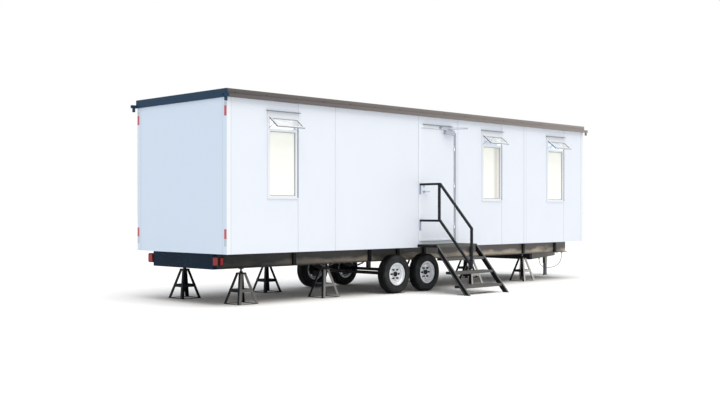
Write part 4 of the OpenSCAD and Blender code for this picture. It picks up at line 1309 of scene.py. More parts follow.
@dataclass
class CabinShell:
    """Walls, corner trims, joint strips, floor and the marker tape on the rear corners.

    Attributes:
        rivet_step: Distance between the trims' rivets.
        rivet: Radius of a rivet head.
        rivet_end: Distance of the end faces' rivets from the side faces.
        rivet_side: Distance of the side faces' rivets from the end faces.
        tape_width: Width of the marker tape.
        tape: Thickness of the tape.
        tape_edge: Width of its rounded edges.
        red_spans: Heights of the red stretches.
        silver_spans: Heights of the silver stretches.
        corner_side: Width of the corner trims on the sides.
        corner_end: Width of the corner trims on the ends.
        edge: Width of a painted shadow line along a trim's edge.
        edge_height: Height of an edge line.
        batten: Start and end of the wide batten.
        strip: Thickness of the batten and the joint strips.
        cover: Thickness of the batten's cover.
    """

    rivet_step: float = 0.3
    rivet: float = 0.0045
    rivet_end: float = 0.072
    rivet_side: float = 0.063
    tape_width: float = 0.059
    tape: float = 0.0008
    tape_edge: float = 0.00024
    red_spans: tuple[Span, ...] = ((1.044, 1.193), (2.907, 3.06))
    silver_spans: tuple[Span, ...] = ((0.93, 1.044), (3.06, 3.125))
    corner_side: float = 0.075
    corner_end: float = 0.095
    edge: float = 0.007
    edge_height: float = 0.0015
    batten: Span = (7.555, 7.645)
    strip: float = 0.003
    cover: float = 0.0008

    def build(self) -> None:
        """Dresses the shell and adds its tape, rivets and painted shadow lines along the trims' edges."""
        dress(WALL, "rear_wall", "front_wall", "back_wall", "side_wall_rear", "side_wall_front")
        dress(WALL, "side_wall_over_door", "side_wall_under_door")
        dress(CORNERS, "corner_trims")
        dress(SEAM, "panel_strips")
        dress(FLOOR_BOARDS, "floor_deck")
        self.marker_tape("rear_marker_red", TAPE_RED, self.red_spans)
        self.marker_tape("rear_marker_silver", TAPE_SILVER, self.silver_spans)
        self.corner_rivets()
        self.trim_edges()
        self.batten_cover()

    def marker_tape(self, name: str, finish: Finish, spans: Sequence[Span]) -> None:
        """Sticks stretches of tape on both rear corners.

        Args:
            name: The piece's name.
            finish: Its finish.
            spans: Lower and upper end of each stretch.
        """
        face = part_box("corner_trims")[0].x - Site.REAR
        blank = Blank()
        for low, high in spans:
            blank.pair(Site.at(face - self.tape, 0.0, low), Site.at(face, self.tape_width, high))
        blank.piece(name, finish, CABIN, bevel=self.tape_edge)

    def corner_rivets(self) -> None:
        """Rivets down both faces of the corner trims."""
        low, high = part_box("corner_trims")
        spots = []
        for i in range(int((high.z - low.z) / self.rivet_step)):
            z = low.z + self.rivet_step * (i + 0.5)
            for y, inward, way in ((low.y, 1, NEAR_SIDE), (high.y, -1, FAR_SIDE)):
                across = y + inward * self.rivet_end
                along = (low.x + self.rivet_side, high.x - self.rivet_side)
                spots += [(Vector((low.x, across, z)), REARWARD), (Vector((high.x, across, z)), FORWARD)]
                spots += [(Vector((x, y, z)), way) for x in along]
        fasten("corner_rivets", Head.DOME, CORNERS, spots, self.rivet)

    def trim_edges(self) -> None:
        """Painted shadow lines along the corner trims' edges."""
        low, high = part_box("corner_trims")
        blank = Blank()
        for start in (self.corner_side, Site.LENGTH - self.corner_side - self.edge):
            blank.pair(Site.at(start, -self.edge_height, low.z), Site.at(start + self.edge, 0.0, high.z))
        for start in (self.corner_end, Site.WIDTH - self.corner_end - self.edge):
            for x in (-self.edge_height, Site.LENGTH):
                end = Site.at(x + self.edge_height, start + self.edge, high.z)
                blank.box(Site.at(x, start, low.z), end)
        blank.piece("trim_edge_shadows", EDGE_SHADOW, CABIN)

    def batten_cover(self) -> None:
        """Wall coloured cover strip on the wide batten."""
        low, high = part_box("panel_strips")
        first, last = self.batten[0] + self.edge * 2, self.batten[1] - self.edge * 2
        blank = Blank()
        blank.pair(Site.at(first, -self.strip - self.cover, low.z), Site.at(last, -self.strip, high.z))
        blank.piece("batten_cover", WALL, CABIN)


@dataclass
class RoofEdge:
    """Fascias, gutters and the roof sheet with its standing seams.

    Attributes:
        rivet_step: Distance between the fascia's rivets.
        rivet: Radius of a rivet head.
        rivet_lift: Height of the rivets over the fascia's middle.
        side_start: Distance of the sides' first rivets from the rear wall.
        end_start: Distance of the ends' first rivets from the door side.
        seams: Count of the standing seams.
        seam_width: Width of a seam.
        seam_height: Height of a seam.
        seam_gap: Bare length at a seam's ends.
        edge_reach: Distance within which a corner counts as the roof's long edge.
    """

    rivet_step: float = 0.61
    rivet: float = 0.008
    rivet_lift: float = 0.012
    side_start: float = 0.15
    end_start: float = 0.3
    seams: int = 16
    seam_width: float = 0.022
    seam_height: float = 0.018
    seam_gap: float = 0.02
    edge_reach: float = 0.001

    def build(self) -> None:
        """Dresses the roof's edge and adds rivets and seams."""
        soften("side_gutters", BRONZE, CABIN, Edge.FOLD)
        dress(BRONZE, "end_fascias")
        dress(ROOF, "roof_panel")
        self.fascia_rivets()
        self.standing_seams()

    def fascia_rivets(self) -> None:
        """Dark rivets along the fascias."""
        low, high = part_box("end_fascias")
        z = (low.z + high.z) / 2 + self.rivet_lift
        thickness = Site.REAR - low.x
        spots = []
        for i in range(int(Site.LENGTH / self.rivet_step) + 1):
            near = Site.at(self.side_start + i * self.rivet_step, -thickness, z)
            spots += [(near, NEAR_SIDE), (Site.mirrored(near), FAR_SIDE)]
        for i in range(int(Site.WIDTH / self.rivet_step)):
            y = Site.NEAR + self.end_start + i * self.rivet_step
            spots += [(Vector((low.x, y, z)), REARWARD), (Vector((high.x, y, z)), FORWARD)]
        fasten("fascia_rivets", Head.DOME, HUBS, spots, self.rivet)

    def standing_seams(self) -> None:
        """Seams across both slopes of the roof sheet."""
        low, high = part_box("roof_panel")
        edge = self.roof_edge()
        half = (high.y - low.y) / 2
        pitch = math.atan2(high.z - edge, half)
        step = Site.LENGTH / (self.seams + 1)
        size = Vector((self.seam_width, half / math.cos(pitch) - self.seam_gap, self.seam_height))
        blank = Blank()
        for y, turn in ((low.y + half / 2, pitch), (high.y - half / 2, -pitch)):
            start = Vector((low.x + step, y, (high.z + edge) / 2))
            values = {"Start": start, "Step": Vector((step, 0, 0)), "Count": self.seams, "Size": size}
            blank.mesh(BarRow().run(ROOF, {**values, "Turn": (turn, 0.0, 0.0)}))
        blank.piece("roof_seams", ROOF, CABIN, bevel=Edge.BAR)

    def roof_edge(self) -> float:
        """Finds how high the roof sheet is at its long edges.

        Returns:
            The height.
        """
        corners = [vertex.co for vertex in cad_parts["roof_panel"].data.vertices]
        edge = min(corner.y for corner in corners)
        return max(corner.z for corner in corners if corner.y < edge + self.edge_reach)


@dataclass
class Windows:
    """Six windows, each a fixed light under an open awning sash.

    Attributes:
        places: Distances of the windows from the rear wall.
        width: Width of a window.
        low: Height of a window's lower edge.
        high: Height of its upper edge.
        light_inset: Distance of the glass from the frame's side.
        light_low: Height of the fixed light's lower edge.
        light_high: Height of its upper edge.
        glass: Depth of the glass behind the wall's face.
        gasket: Width of the glazing gasket.
        gasket_depth: Thickness of the gasket.
        flange: Height of the frames' flanges over the wall.
        shadow_line: Width of a painted shadow line.
        shadow_line_depth: Thickness of the line.
        shadow_line_edge: Distance of the line from the flange's edge.
        shadow_line_top: Distance of the line's upper end from the window's.
    """

    places: tuple[float, ...] = (0.788, 6.176, 8.364)
    width: float = 0.635
    low: float = 1.66
    high: float = 3.03
    light_inset: float = 0.05
    light_low: float = 1.71
    light_high: float = 2.72
    glass: float = 0.02
    gasket: float = 0.009
    gasket_depth: float = 0.006
    flange: float = 0.015
    shadow_line: float = 0.018
    shadow_line_depth: float = 0.0006
    shadow_line_edge: float = 0.001
    shadow_line_top: float = 0.108

    def build(self) -> None:
        """Dresses the windows and glazes them."""
        soften("window_frames", FRAMES, CABIN, Edge.FOLD)
        soften("awning_sashes", SASH, CABIN, Edge.BEAD)
        soften("drip_hoods", HOOD_SHADE, CABIN, Edge.SHEET)
        dress(GLASS, "window_panes")
        dress(CLEAR, "awning_panes")
        dress(HARDWARE, "awning_stays")
        self.gaskets()
        self.gap_shadows()

    def gaskets(self) -> None:
        """Grey gaskets round the fixed lights."""
        blank = Blank()
        low, high, bead = self.light_low, self.light_high, self.gasket
        for place in self.places:
            left = place + self.light_inset
            right = place + self.width - self.light_inset
            bars = [
                ((left, low), (left + bead, high)),
                ((right - bead, low), (right, high)),
                ((left + bead, low), (right - bead, low + bead)),
                ((left + bead, high - bead), (right - bead, high)),
            ]
            for first, last in bars:
                face = Site.at(first[0], self.glass - self.gasket_depth, first[1])
                blank.pair(face, Site.at(last[0], self.glass, last[1]))
        blank.piece("glazing_gaskets", GASKET, CABIN, bevel=Edge.BEAD)

    def gap_shadows(self) -> None:
        """Painted shadow lines on the flanges' edges beside the joint strips."""
        blank = Blank()
        for place in self.places:
            last = place + self.width - self.shadow_line_edge
            foot = Site.at(last - self.shadow_line, -self.flange - self.shadow_line_depth, self.low + self.shadow_line)
            blank.pair(foot, Site.at(last, -self.flange, self.high - self.shadow_line_top))
        blank.piece("window_gap_shadows", GAP_SHADOW, CABIN)


@dataclass
class Doorway:
    """Door leaf, frame, furniture and the overhead closer.

    Attributes:
        casing: Width of the door casing.
        shadow_line: Width of a painted shadow line.
        shadow_line_depth: Thickness of the line.
        shadow_line_edge: Distance of the line from the casing's edges.
        sill_ribs: Count of the sill's grip ribs.
        sill_run: Depth of the sill that they cover.
        sill_start: Distance of the first rib from the sill's front.
        sill_rib: Width and thickness of a rib, half of it in the sill.
        sill_margin: Bare length of the sill beside the ribs.
        cap: Outline of the closer's end caps, radius and reach.
        cap_lift: Height of the caps' middle over the closer's underside.
        valve: Outline of a valve screw, radius and reach.
        valves: Distances of the valve screws from the closer's end.
        eye: Distance of the elbow's middle from the arm's edges.
        pin: Outline of the elbow's pin head, radius and reach.
    """

    casing: float = 0.055
    shadow_line: float = 0.016
    shadow_line_depth: float = 0.0006
    shadow_line_edge: float = 0.001
    sill_ribs: int = 6
    sill_run: float = 0.05
    sill_start: float = 0.012
    sill_rib: Span = (0.003, 0.003)
    sill_margin: float = 0.02
    cap: Outline = ((0.0, -0.002), (0.02, -0.002), (0.02, 0.003), (0.016, 0.005), (0.0, 0.005))
    cap_lift: float = 0.04
    valve: Outline = ((0.0, -0.002), (0.006, -0.002), (0.006, 0.0015), (0.0, 0.0015))
    valves: Span = (0.05, 0.075)
    eye: float = 0.014
    pin: Outline = ((0.0, 0.001), (0.009, 0.001), (0.009, -0.002), (0.006, -0.0035), (0.0, -0.0035))

    def build(self) -> None:
        """Dresses the doorway and the closer, and adds their small parts."""
        soften("door_leaf", WALL, DOOR, Edge.PLATE)
        soften("door_jambs", TRIM, CABIN, Edge.FOLD)
        soften("door_head", TRIM, CABIN, Edge.FOLD)
        soften("door_sill", TRIM, CABIN, Edge.SHEET)
        soften("door_handles", CLOSER, DOOR, Edge.PLATE)
        dress(TRIM, "frame_hinges", "door_hinges")
        soften("closer_body", CLOSER, DOOR, Edge.CAST)
        soften("closer_main_arm", CLOSER, "closer_arm", Edge.SHEET)
        soften("closer_forearm", CLOSER, "closer_link", Edge.SHEET)
        soften("closer_shoe", CLOSER, CABIN, Edge.BEAD)
        self.sill_grip()
        self.closer_caps()
        self.elbow_pin()
        self.casing_gap_shadows()

    def sill_grip(self) -> None:
        """Fine ribs along the top of the sill."""
        low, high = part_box("door_sill")
        start = Vector(((low.x + high.x) / 2, low.y + self.sill_start, high.z))
        step = Vector((0, self.sill_run / self.sill_ribs, 0))
        size = Vector((high.x - low.x - self.sill_margin, *self.sill_rib))
        values = {"Start": start, "Step": step, "Count": self.sill_ribs, "Size": size}
        blank = Blank()
        blank.mesh(BarRow().run(HARDWARE, {**values, "Turn": (0.0, 0.0, 0.0)}))
        blank.piece("sill_ribs", HARDWARE, CABIN)

    def closer_caps(self) -> None:
        """Round caps on the closer body's ends, with the valve screws on its face."""
        low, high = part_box("closer_body")
        z = low.z + self.cap_lift
        blank = Blank()
        for x, way in ((low.x, REARWARD), (high.x, FORWARD)):
            blank.lathe(Vector((x, (low.y + high.y) / 2, z)), way, self.cap, Steps.CAP)
        for step in self.valves:
            blank.lathe(Vector((low.x + step, low.y, z)), NEAR_SIDE, self.valve, Steps.SCREW)
        blank.piece("closer_caps", CLOSER, DOOR)

    def elbow_pin(self) -> None:
        """Pin head under the elbow's eye of the main arm."""
        low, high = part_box("closer_main_arm")
        blank = Blank()
        middle = Vector((high.x - self.eye, low.y + self.eye, low.z))
        blank.lathe(middle, UPWARD, self.pin, Steps.PIN)
        blank.piece("elbow_pin", HARDWARE, "closer_arm")

    def casing_gap_shadows(self) -> None:
        """Painted shadow lines down both edges of the casing on the hinge side."""
        low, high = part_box("door_jambs")
        face, top = low.y, high.z - self.casing * 2
        blank = Blank()
        for edge in (high.x - self.casing + self.shadow_line_edge, high.x - self.shadow_line - self.shadow_line_edge):
            blank.box((edge, face - self.shadow_line_depth, low.z), (edge + self.shadow_line, face, top))
        blank.piece("casing_gap_shadows", GAP_SHADOW, CABIN)


@dataclass
class Stairs:
    """Platform, treads, stringers and handrail.

    Attributes:
        pitch: Distance between the chequer plate's lozenges.
        lozenge: Half length, half width and height of a lozenge.
        margin: Bare margin round a chequer plate.
        tread: Thickness of a tread.
        tread_slack: How far a tread's thickness may differ from that.
        level_slack: How far a corner may lie from its tread's level.
        bolt: Radius of a tread's bolt head.
        bolt_shares: Places of a tread's bolts along its depth.
        bolt_seat: Distance of the bolt heads from the stringers' outer edges.
        plate: Length of a rail's wall plate under its rail.
        plate_bolt: Radius of a wall plate's bolt head.
        plate_drops: Distances of its bolts from its top.
    """

    pitch: float = 0.034
    lozenge: Triple = (0.013, 0.0042, 0.004)
    margin: float = 0.03
    tread: float = 0.045
    tread_slack: float = 0.0015
    level_slack: float = 0.001
    bolt: float = 0.011
    bolt_shares: Span = (0.12, 0.32)
    bolt_seat: float = 0.032
    plate: float = 0.2
    plate_bolt: float = 0.0077
    plate_drops: Span = (0.09, 0.16)

    def build(self) -> None:
        """Dresses the stairs and adds grip and bolts."""
        for node in ("stair_stringers", "stair_platform", "stair_treads"):
            soften(node, STAIRS, CABIN, Edge.PLATE)
        soften("handrail", RAIL, CABIN, Edge.CAST)
        soften("handrail_plates", PLATES, CABIN, Edge.SHEET)
        self.grip()
        self.plate_bolts()
        self.tread_bolts()

    def decks(self) -> list[tuple[Vector, Vector]]:
        """Finds the box of the platform and the top face of each tread, from the lowest up.

        Returns:
            Lower and upper corner of each.
        """
        found = [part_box("stair_platform")]
        low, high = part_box("stair_treads")
        corners = [vertex.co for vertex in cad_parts["stair_treads"].data.vertices]
        levels = sorted({round(corner.z, 3) for corner in corners})
        for z in levels:
            if any(abs(z - other - self.tread) < self.tread_slack for other in levels):
                ys = [corner.y for corner in corners if abs(corner.z - z) < self.level_slack]
                found.append((Vector((low.x, min(ys), z)), Vector((high.x, max(ys), z))))
        return found

    def grip(self) -> None:
        """Chequer plate lozenges on the platform and treads."""
        blank = Blank()
        for low, high in self.decks():
            length = high.x - low.x - 2 * self.margin
            depth = high.y - low.y - 2 * self.margin
            centre = Vector(((low.x + high.x) / 2, (low.y + high.y) / 2, high.z))
            values = {"Centre": centre, "Length": length, "Depth": depth, "Lozenge": Vector(self.lozenge)}
            values |= {"Columns": int(length / self.pitch), "Rows": int(depth / self.pitch) // 2 * 2 + 1}
            blank.mesh(ChequerPlate().run(STAIRS, values))
        blank.piece("stair_grip", STAIRS, CABIN)

    def plate_bolts(self) -> None:
        """Two bolts in each of the rail's wall plates, below the rail."""
        low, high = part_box("handrail_plates")
        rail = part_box("handrail")[1].z
        x = (low.x + high.x) / 2
        tops = (high.z, low.z + self.plate + (high.z - rail))
        spots = [(Vector((x, low.y, top - drop)), NEAR_SIDE) for top in tops for drop in self.plate_drops]
        fasten("rail_plate_bolts", Head.HEX, HARDWARE, spots, self.plate_bolt)

    def tread_bolts(self) -> None:
        """Bolts through the stringers into each tread."""
        low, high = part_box("stair_stringers")
        seats = ((low.x + self.bolt_seat, REARWARD), (high.x - self.bolt_seat, FORWARD))
        spots = []
        for first, last in self.decks()[1:]:
            for share in self.bolt_shares:
                y = first.y + (last.y - first.y) * share
                spots += [(Vector((x, y, last.z - self.tread / 2)), way) for x, way in seats]
        fasten("tread_bolts", Head.HEX, HUBS, spots, self.bolt)


@dataclass
class Chassis:
    """Main beams, end beams, cross members, hitch and tail lamps.

    Attributes:
        stiffeners: Distances of the web stiffeners from the rear wall.
        stiffener_half: Half the length of a stiffener.
        stiffener_inset: Distance of its face behind the beam's.
        flange: Thickness of a beam's flanges.
        paint: Thickness of the dark patches of painted shade on the stiffeners.
        ribs: Count of a lens's ribs.
        rib: Width and height of a rib.
        rib_margin: Bare width of a lens beside the ribs.
        lamp_inset: Distance of the lamps' middles from the side walls.
        bolt: Radius of a bolt head.
        bolt_rows: Distances of the coupler's bolts from its rear end.
        bolt_half: Half the distance between them across the hitch.
        bolt_level: Height of their seat.
        latch_foot: Distance of the latch from the coupler's nose, and its height.
        latch: Reach and rise of the latch's points from its foot.
        latch_radius: Radius of the latch's bar.
        jack: Outline of the tongue jack's inner tube, radius and height.
    """

    stiffeners: tuple[float, ...] = (1.72, 3.5025, 4.24, 4.9775, 6.39, 8.13, 9.3)
    stiffener_half: float = 0.03
    stiffener_inset: float = 0.002
    flange: float = 0.0125
    paint: float = 0.0008
    ribs: int = 7
    rib: float = 0.0035
    rib_margin: float = 0.024
    lamp_inset: float = 0.329
    bolt: float = 0.012
    bolt_rows: Span = (0.04, 0.12)
    bolt_half: float = 0.045
    bolt_level: float = 0.575
    latch_foot: Span = (0.085, 0.6)
    latch: Outline = ((0.0, 0.0), (-0.012, 0.02), (-0.05, 0.028), (-0.1, 0.024))
    latch_radius: float = 0.008
    jack: Outline = ((0.03, 0.0125), (0.0428, 0.0125), (0.0428, 0.2735), (0.03, 0.2735))

    def build(self) -> None:
        """Dresses the steelwork and adds lamps and hitch parts."""
        soften("chassis_beams", BLACK, CABIN, Edge.FOLD)
        soften("end_beams", REAR_BLACK, CABIN, Edge.BAR)
        dress(BLACK, "cross_members")
        soften("hitch_beam_bar", HUBS, CABIN, Edge.BAR)
        soften("hitch_legs", HITCH, CABIN, Edge.BAR)
        soften("coupler", HITCH, CABIN, Edge.BAR)
        soften("tongue_jack", STANDS, CABIN, Edge.SHEET)
        soften("tail_lamps", HUBS, CABIN, Edge.CAST)
        soften("tail_lenses", LENS, CABIN, Edge.CAST)
        self.lens_ribs()
        self.coupler_bolts()
        self.coupler_latch()
        self.stiffener_shade()
        self.jack_tube()

    def lens_ribs(self) -> None:
        """Moulded ribs across the rear lenses."""
        low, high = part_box("tail_lenses")
        size = high.z - low.z
        step = size / (self.ribs + 1)
        bar = Vector((self.rib, size - self.rib_margin, self.rib))
        values = {"Step": Vector((0, 0, step)), "Count": self.ribs, "Size": bar, "Turn": (0.0, 0.0, 0.0)}
        blank = Blank()
        for y in (Site.NEAR + self.lamp_inset, Site.FAR - self.lamp_inset):
            blank.mesh(BarRow().run(LENS, {**values, "Start": Vector((low.x, y, low.z + step))}))
        blank.piece("lens_ribs", LENS, CABIN, bevel=Edge.BEAD)

    def coupler_bolts(self) -> None:
        """Bolts of the coupler's plate."""
        low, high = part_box("coupler")
        middle = (low.y + high.y) / 2
        sides = (middle - self.bolt_half, middle + self.bolt_half)
        seats = [Vector((low.x + row, y, self.bolt_level)) for row in self.bolt_rows for y in sides]
        spots = [(seat, UPWARD) for seat in seats]
        fasten("coupler_bolts", Head.HEX, HUBS, spots, self.bolt)

    def coupler_latch(self) -> None:
        """Latch lever on the coupler."""
        low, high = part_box("coupler")
        setback, level = self.latch_foot
        foot = Vector((high.x - setback, (low.y + high.y) / 2, level))
        blank = Blank()
        path = [foot + Vector((reach, 0, rise)) for reach, rise in self.latch]
        blank.tube(path, self.latch_radius, Steps.LEVER)
        blank.piece("coupler_latch", HARDWARE, CABIN)

    def stiffener_shade(self) -> None:
        """Painted shade: dark patches on the web stiffeners, without the beams' painted light, standing for
        their shaded faces.
        """
        low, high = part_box("chassis_beams")
        face = low.y - Site.NEAR + self.stiffener_inset
        foot, top = low.z + self.flange, high.z - self.flange
        blank = Blank()
        for place in self.stiffeners:
            first, last = place - self.stiffener_half, place + self.stiffener_half
            blank.pair(Site.at(first, face - self.paint, foot), Site.at(last, face, top))
        blank.piece("stiffener_shade", HUBS, CABIN)

    def jack_tube(self) -> None:
        """Plated inner tube of the tongue jack."""
        low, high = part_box("tongue_jack")
        blank = Blank()
        foot = Vector(((low.x + high.x) / 2, Site.MIDDLE, 0.0))
        blank.lathe(foot, UPWARD, self.jack, Steps.HUB)
        blank.piece("jack_tube", ZINC, CABIN)


@dataclass
class RunningGear:
    """Tyres, wheels, springs and axles.

    Attributes:
        sidewall: Outline of the tyre's outer half, radius and reach.
        tread_radius: Radius over the tread blocks.
        blocks: Blocks round a tyre.
        rows: Rows of blocks.
        row_step: Distance between the rows.
        block: Depth, length and width of a block.
        nuts: Count of a wheel's nuts.
        nut_circle: Radius of the circle of nuts.
        nut_reach: Distance of the nuts from the wheel's middle plane.
        nut: Radius of a nut.
        hub_cap: Outline of the hub cap, radius and reach.
        drum: Outline of the brake drum, radius and reach.
        spring_half: Half the width of a spring.
        seat_plate: Half length, half width and thickness of the plate over a spring.
        seat_level: Height of the plate's underside.
        u_bend: Radius of a U bolt's bend.
        u_steps: Steps of the bend.
        u_half: Half the distance between a spring's U bolts.
        u_rod: Radius of a U bolt's rod.
        u_tail: Height of its ends over the plate's underside.
        u_nut: Radius of its nuts.
        u_nut_drop: Distance of the nuts' middles from its ends.
    """

    sidewall: Outline = (
        (0.188, 0.072), (0.2018, 0.072), (0.2018, 0.081), (0.213, 0.0935), (0.219, 0.0985), (0.222, 0.1015),
        (0.226, 0.1005), (0.245, 0.1025), (0.27, 0.1022), (0.293, 0.0988), (0.296, 0.1002), (0.3, 0.0996),
        (0.303, 0.0962), (0.318, 0.0905), (0.3295, 0.0815), (0.336, 0.07),
    )
    tread_radius: float = 0.344
    blocks: int = 58
    rows: int = 5
    row_step: float = 0.0282
    block: Triple = (0.0115, 0.029, 0.0225)
    nuts: int = 6
    nut_circle: float = 0.086
    nut_reach: float = 0.034
    nut: float = 0.0195
    hub_cap: Outline = (
        (0.0, 0.02), (0.043, 0.02), (0.043, 0.044), (0.04, 0.053), (0.032, 0.059), (0.0, 0.06),
    )
    drum: Outline = (
        (0.03, -0.1079), (0.1285, -0.1079), (0.1285, -0.0472), (0.0446, -0.0472), (0.0446, 0.006),
        (0.03, 0.006),
    )
    spring_half: float = 0.0225
    seat_plate: Triple = (0.055, 0.04, 0.01)
    seat_level: float = 0.4086
    u_bend: float = 0.0365
    u_steps: int = 10
    u_half: float = 0.03
    u_rod: float = 0.0055
    u_tail: float = 0.03
    u_nut: float = 0.0095
    u_nut_drop: float = 0.014

    def build(self) -> None:
        """Dresses the running gear and makes its tyres and fittings."""
        for side, out in (("near", NEAR_SIDE), ("far", FAR_SIDE)):
            for end in ("rear", "front"):
                self.wheel(f"{side}_{end}", out)
        dress(BLACK, "axles", "leaf_springs")
        soften("spring_hangers", BLACK, CABIN, Edge.SHEET)
        soften("equalizers", BLACK, CABIN, Edge.SHEET)
        self.u_bolts()

    def wheel(self, name: str, out: Vector) -> None:
        """One tyre with its wheel's cap, nuts and drum.

        Args:
            name: Side and end of the wheel, such as near_rear.
            out: Way that the wheel faces.
        """
        body = f"{name}_wheel"
        low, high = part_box(f"tyre_{name}")
        centre = (low + high) / 2
        dress(RIMS, f"wheel_{name}")
        self.tyre(name, body, centre)
        dark = Blank()
        dark.lathe(centre, out, self.hub_cap, Steps.HUB)
        dark.lathe(centre, out, self.drum, Steps.DRUM)
        dark.piece(f"hub_{name}", HUBS, body)
        spots = []
        for i in range(self.nuts):
            angle = math.tau * i / self.nuts
            ray = Vector((math.cos(angle), 0, math.sin(angle))) * self.nut_circle
            spots.append((centre + ray + out * self.nut_reach, out))
        fasten(f"wheel_nuts_{name}", Head.HEX, HUBS, spots, self.nut, body)

    def tyre(self, name: str, body: str, centre: Vector) -> None:
        """Carcass with ribbed sidewalls, and the tread blocks on it.

        Args:
            name: Side and end of the wheel.
            body: The wheel's body.
            centre: Middle of the tyre.
        """
        outline = [*self.sidewall, *((radius, -reach) for radius, reach in reversed(self.sidewall))]
        blank = Blank()
        blank.lathe(centre, NEAR_SIDE, outline, Steps.TYRE)
        values = {"Centre": centre, "Radius": self.tread_radius - self.block[0] / 2, "Count": self.blocks}
        values |= {"Rows": self.rows, "Spacing": self.row_step, "Block": Vector(self.block)}
        blank.mesh(TreadBlocks().run(TYRES, values))
        blank.piece(f"tyre_tread_{name}", TYRES, body, [f"tyre_{name}"])

    def u_bolts(self) -> None:
        """Pairs of U bolts round the axles, with a plate over each spring."""
        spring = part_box("leaf_springs")[0].y + self.spring_half
        half_length, half_width, thickness = self.seat_plate
        tail = self.seat_level + self.u_tail
        turns = [math.pi * i / self.u_steps for i in range(self.u_steps + 1)]
        blank = Blank()
        nuts = []
        for tyre in ("tyre_near_rear", "tyre_near_front"):
            low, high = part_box(tyre)
            axle = (low + high) / 2
            near = Vector((axle.x, spring, self.seat_level))
            for seat in (near, Site.mirrored(near)):
                corner = Vector((half_length, half_width, 0))
                blank.box(seat - corner, seat + corner + UPWARD * thickness)
                for y in (seat.y - self.u_half, seat.y + self.u_half):
                    bend = [(-self.u_bend * math.cos(a), -self.u_bend * math.sin(a)) for a in turns]
                    arc = [Vector((axle.x + x, y, axle.z + z)) for x, z in bend]
                    ends = [Vector((axle.x + x, y, tail)) for x in (-self.u_bend, self.u_bend)]
                    blank.tube([ends[0], *arc, ends[1]], self.u_rod, Steps.ROD)
                    nuts += [(end - UPWARD * self.u_nut_drop, UPWARD) for end in ends]
        blank.piece("spring_u_bolts", HUBS, CABIN)
        fasten("u_bolt_nuts", Head.HEX, HUBS, nuts, self.u_nut)


@dataclass
class JackStands:
    """Eight stands of angle iron with screws.

    Attributes:
        places: Distances of the stands from the rear wall.
        inset: Distance of the stands' middles from the side walls.
        cap: Half the width of the cap over the legs' heads, and its depth.
        cap_top: Height of the cap's top.
        screw: Radius of the screw.
        thread_low: Height where the bare thread starts.
        thread_height: Height of the bare thread.
        turns: Turns of the thread.
        ridge: Radius of the thread's ridge.
    """

    places: tuple[float, ...] = (0.63, 2.42, 6.39, 8.13)
    inset: float = 0.454
    cap: Span = (0.061, 0.026)
    cap_top: float = 0.4965
    screw: float = 0.017
    thread_low: float = 0.518
    thread_height: float = 0.034
    turns: float = 5.0
    ridge: float = 0.0022

    def build(self) -> None:
        """Dresses the stands, caps them and winds the screws' threads."""
        dress(STANDS, "stand_frames")
        dress(HUBS, "stand_screws")
        self.caps()
        self.threads()

    def caps(self) -> None:
        """Folded caps over the legs' heads."""
        half, depth = self.cap
        blank = Blank()
        for place in self.places:
            top = Site.at(place, self.inset, self.cap_top)
            blank.pair(top - Vector((half, half, depth)), top + Vector((half, half, 0)))
        blank.piece("stand_caps", HUBS, CABIN, bevel=Edge.BAR)

    def threads(self) -> None:
        """Bare thread between each screw's nut and pad."""
        spots = []
        for place in self.places:
            near = Site.at(place, self.inset, self.thread_low)
            spots += [(near, UPWARD), (Site.mirrored(near), UPWARD)]
        values = {"Radius": self.screw, "Turns": self.turns}
        values |= {"Height": self.thread_height, "Ridge": self.ridge}
        blank = Blank()
        blank.mesh(ScrewThreads().run(HARDWARE, values, spots))
        blank.piece("stand_threads", HARDWARE, CABIN)


@dataclass
class LightCable:
    """The pale cable that hangs in a loop under the front end.

    Attributes:
        route: Places along the cable on the cabin's axes.
        diameter: Diameter of the cable.
        round_steps: Steps of its round section, as the curve counts them.
        bend_steps: Steps between two places.
    """

    route: tuple[Triple, ...] = (
        (9.640, 0.475, 0.545), (9.640, 0.475, 0.515), (9.640, 0.475, 0.480), (9.635, 0.480, 0.440),
        (9.625, 0.485, 0.400), (9.610, 0.490, 0.360), (9.585, 0.500, 0.325), (9.555, 0.515, 0.290),
        (9.515, 0.535, 0.265), (9.465, 0.560, 0.240), (9.410, 0.585, 0.230), (9.355, 0.610, 0.220),
        (9.300, 0.640, 0.220), (9.250, 0.660, 0.230), (9.210, 0.680, 0.250), (9.175, 0.700, 0.280),
        (9.150, 0.710, 0.320), (9.140, 0.715, 0.360), (9.130, 0.720, 0.390), (9.130, 0.720, 0.420),
    )
    diameter: float = 0.012
    round_steps: int = 4
    bend_steps: int = 6

    def build(self) -> None:
        """Hangs the cable and dresses its clips."""
        curve = bpy.data.curves.new("light_cable_loop", "CURVE")
        curve.dimensions = "3D"
        curve.bevel_depth = self.diameter / 2
        curve.bevel_resolution = self.round_steps
        curve.resolution_u = self.bend_steps
        curve.use_fill_caps = True
        spline = curve.splines.new("BEZIER")
        spline.bezier_points.add(len(self.route) - 1)
        spots = [Site.at(*place) for place in self.route]
        for knot, spot in zip(spline.bezier_points, spots):
            knot.co = spot
            knot.handle_left_type = knot.handle_right_type = "AUTO"
        curve.materials.append(JACKET.material())
        made = bpy.data.objects.new("light_cable_loop", curve)
        bpy.context.scene.collection.objects.link(made)
        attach(made, CABIN)
        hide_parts("light_cable")
        dress(GASKET, "cable_clips")


class Lamp(Enum):
    """Kind of a lamp."""

    SUN = "SUN"
    POINT = "POINT"


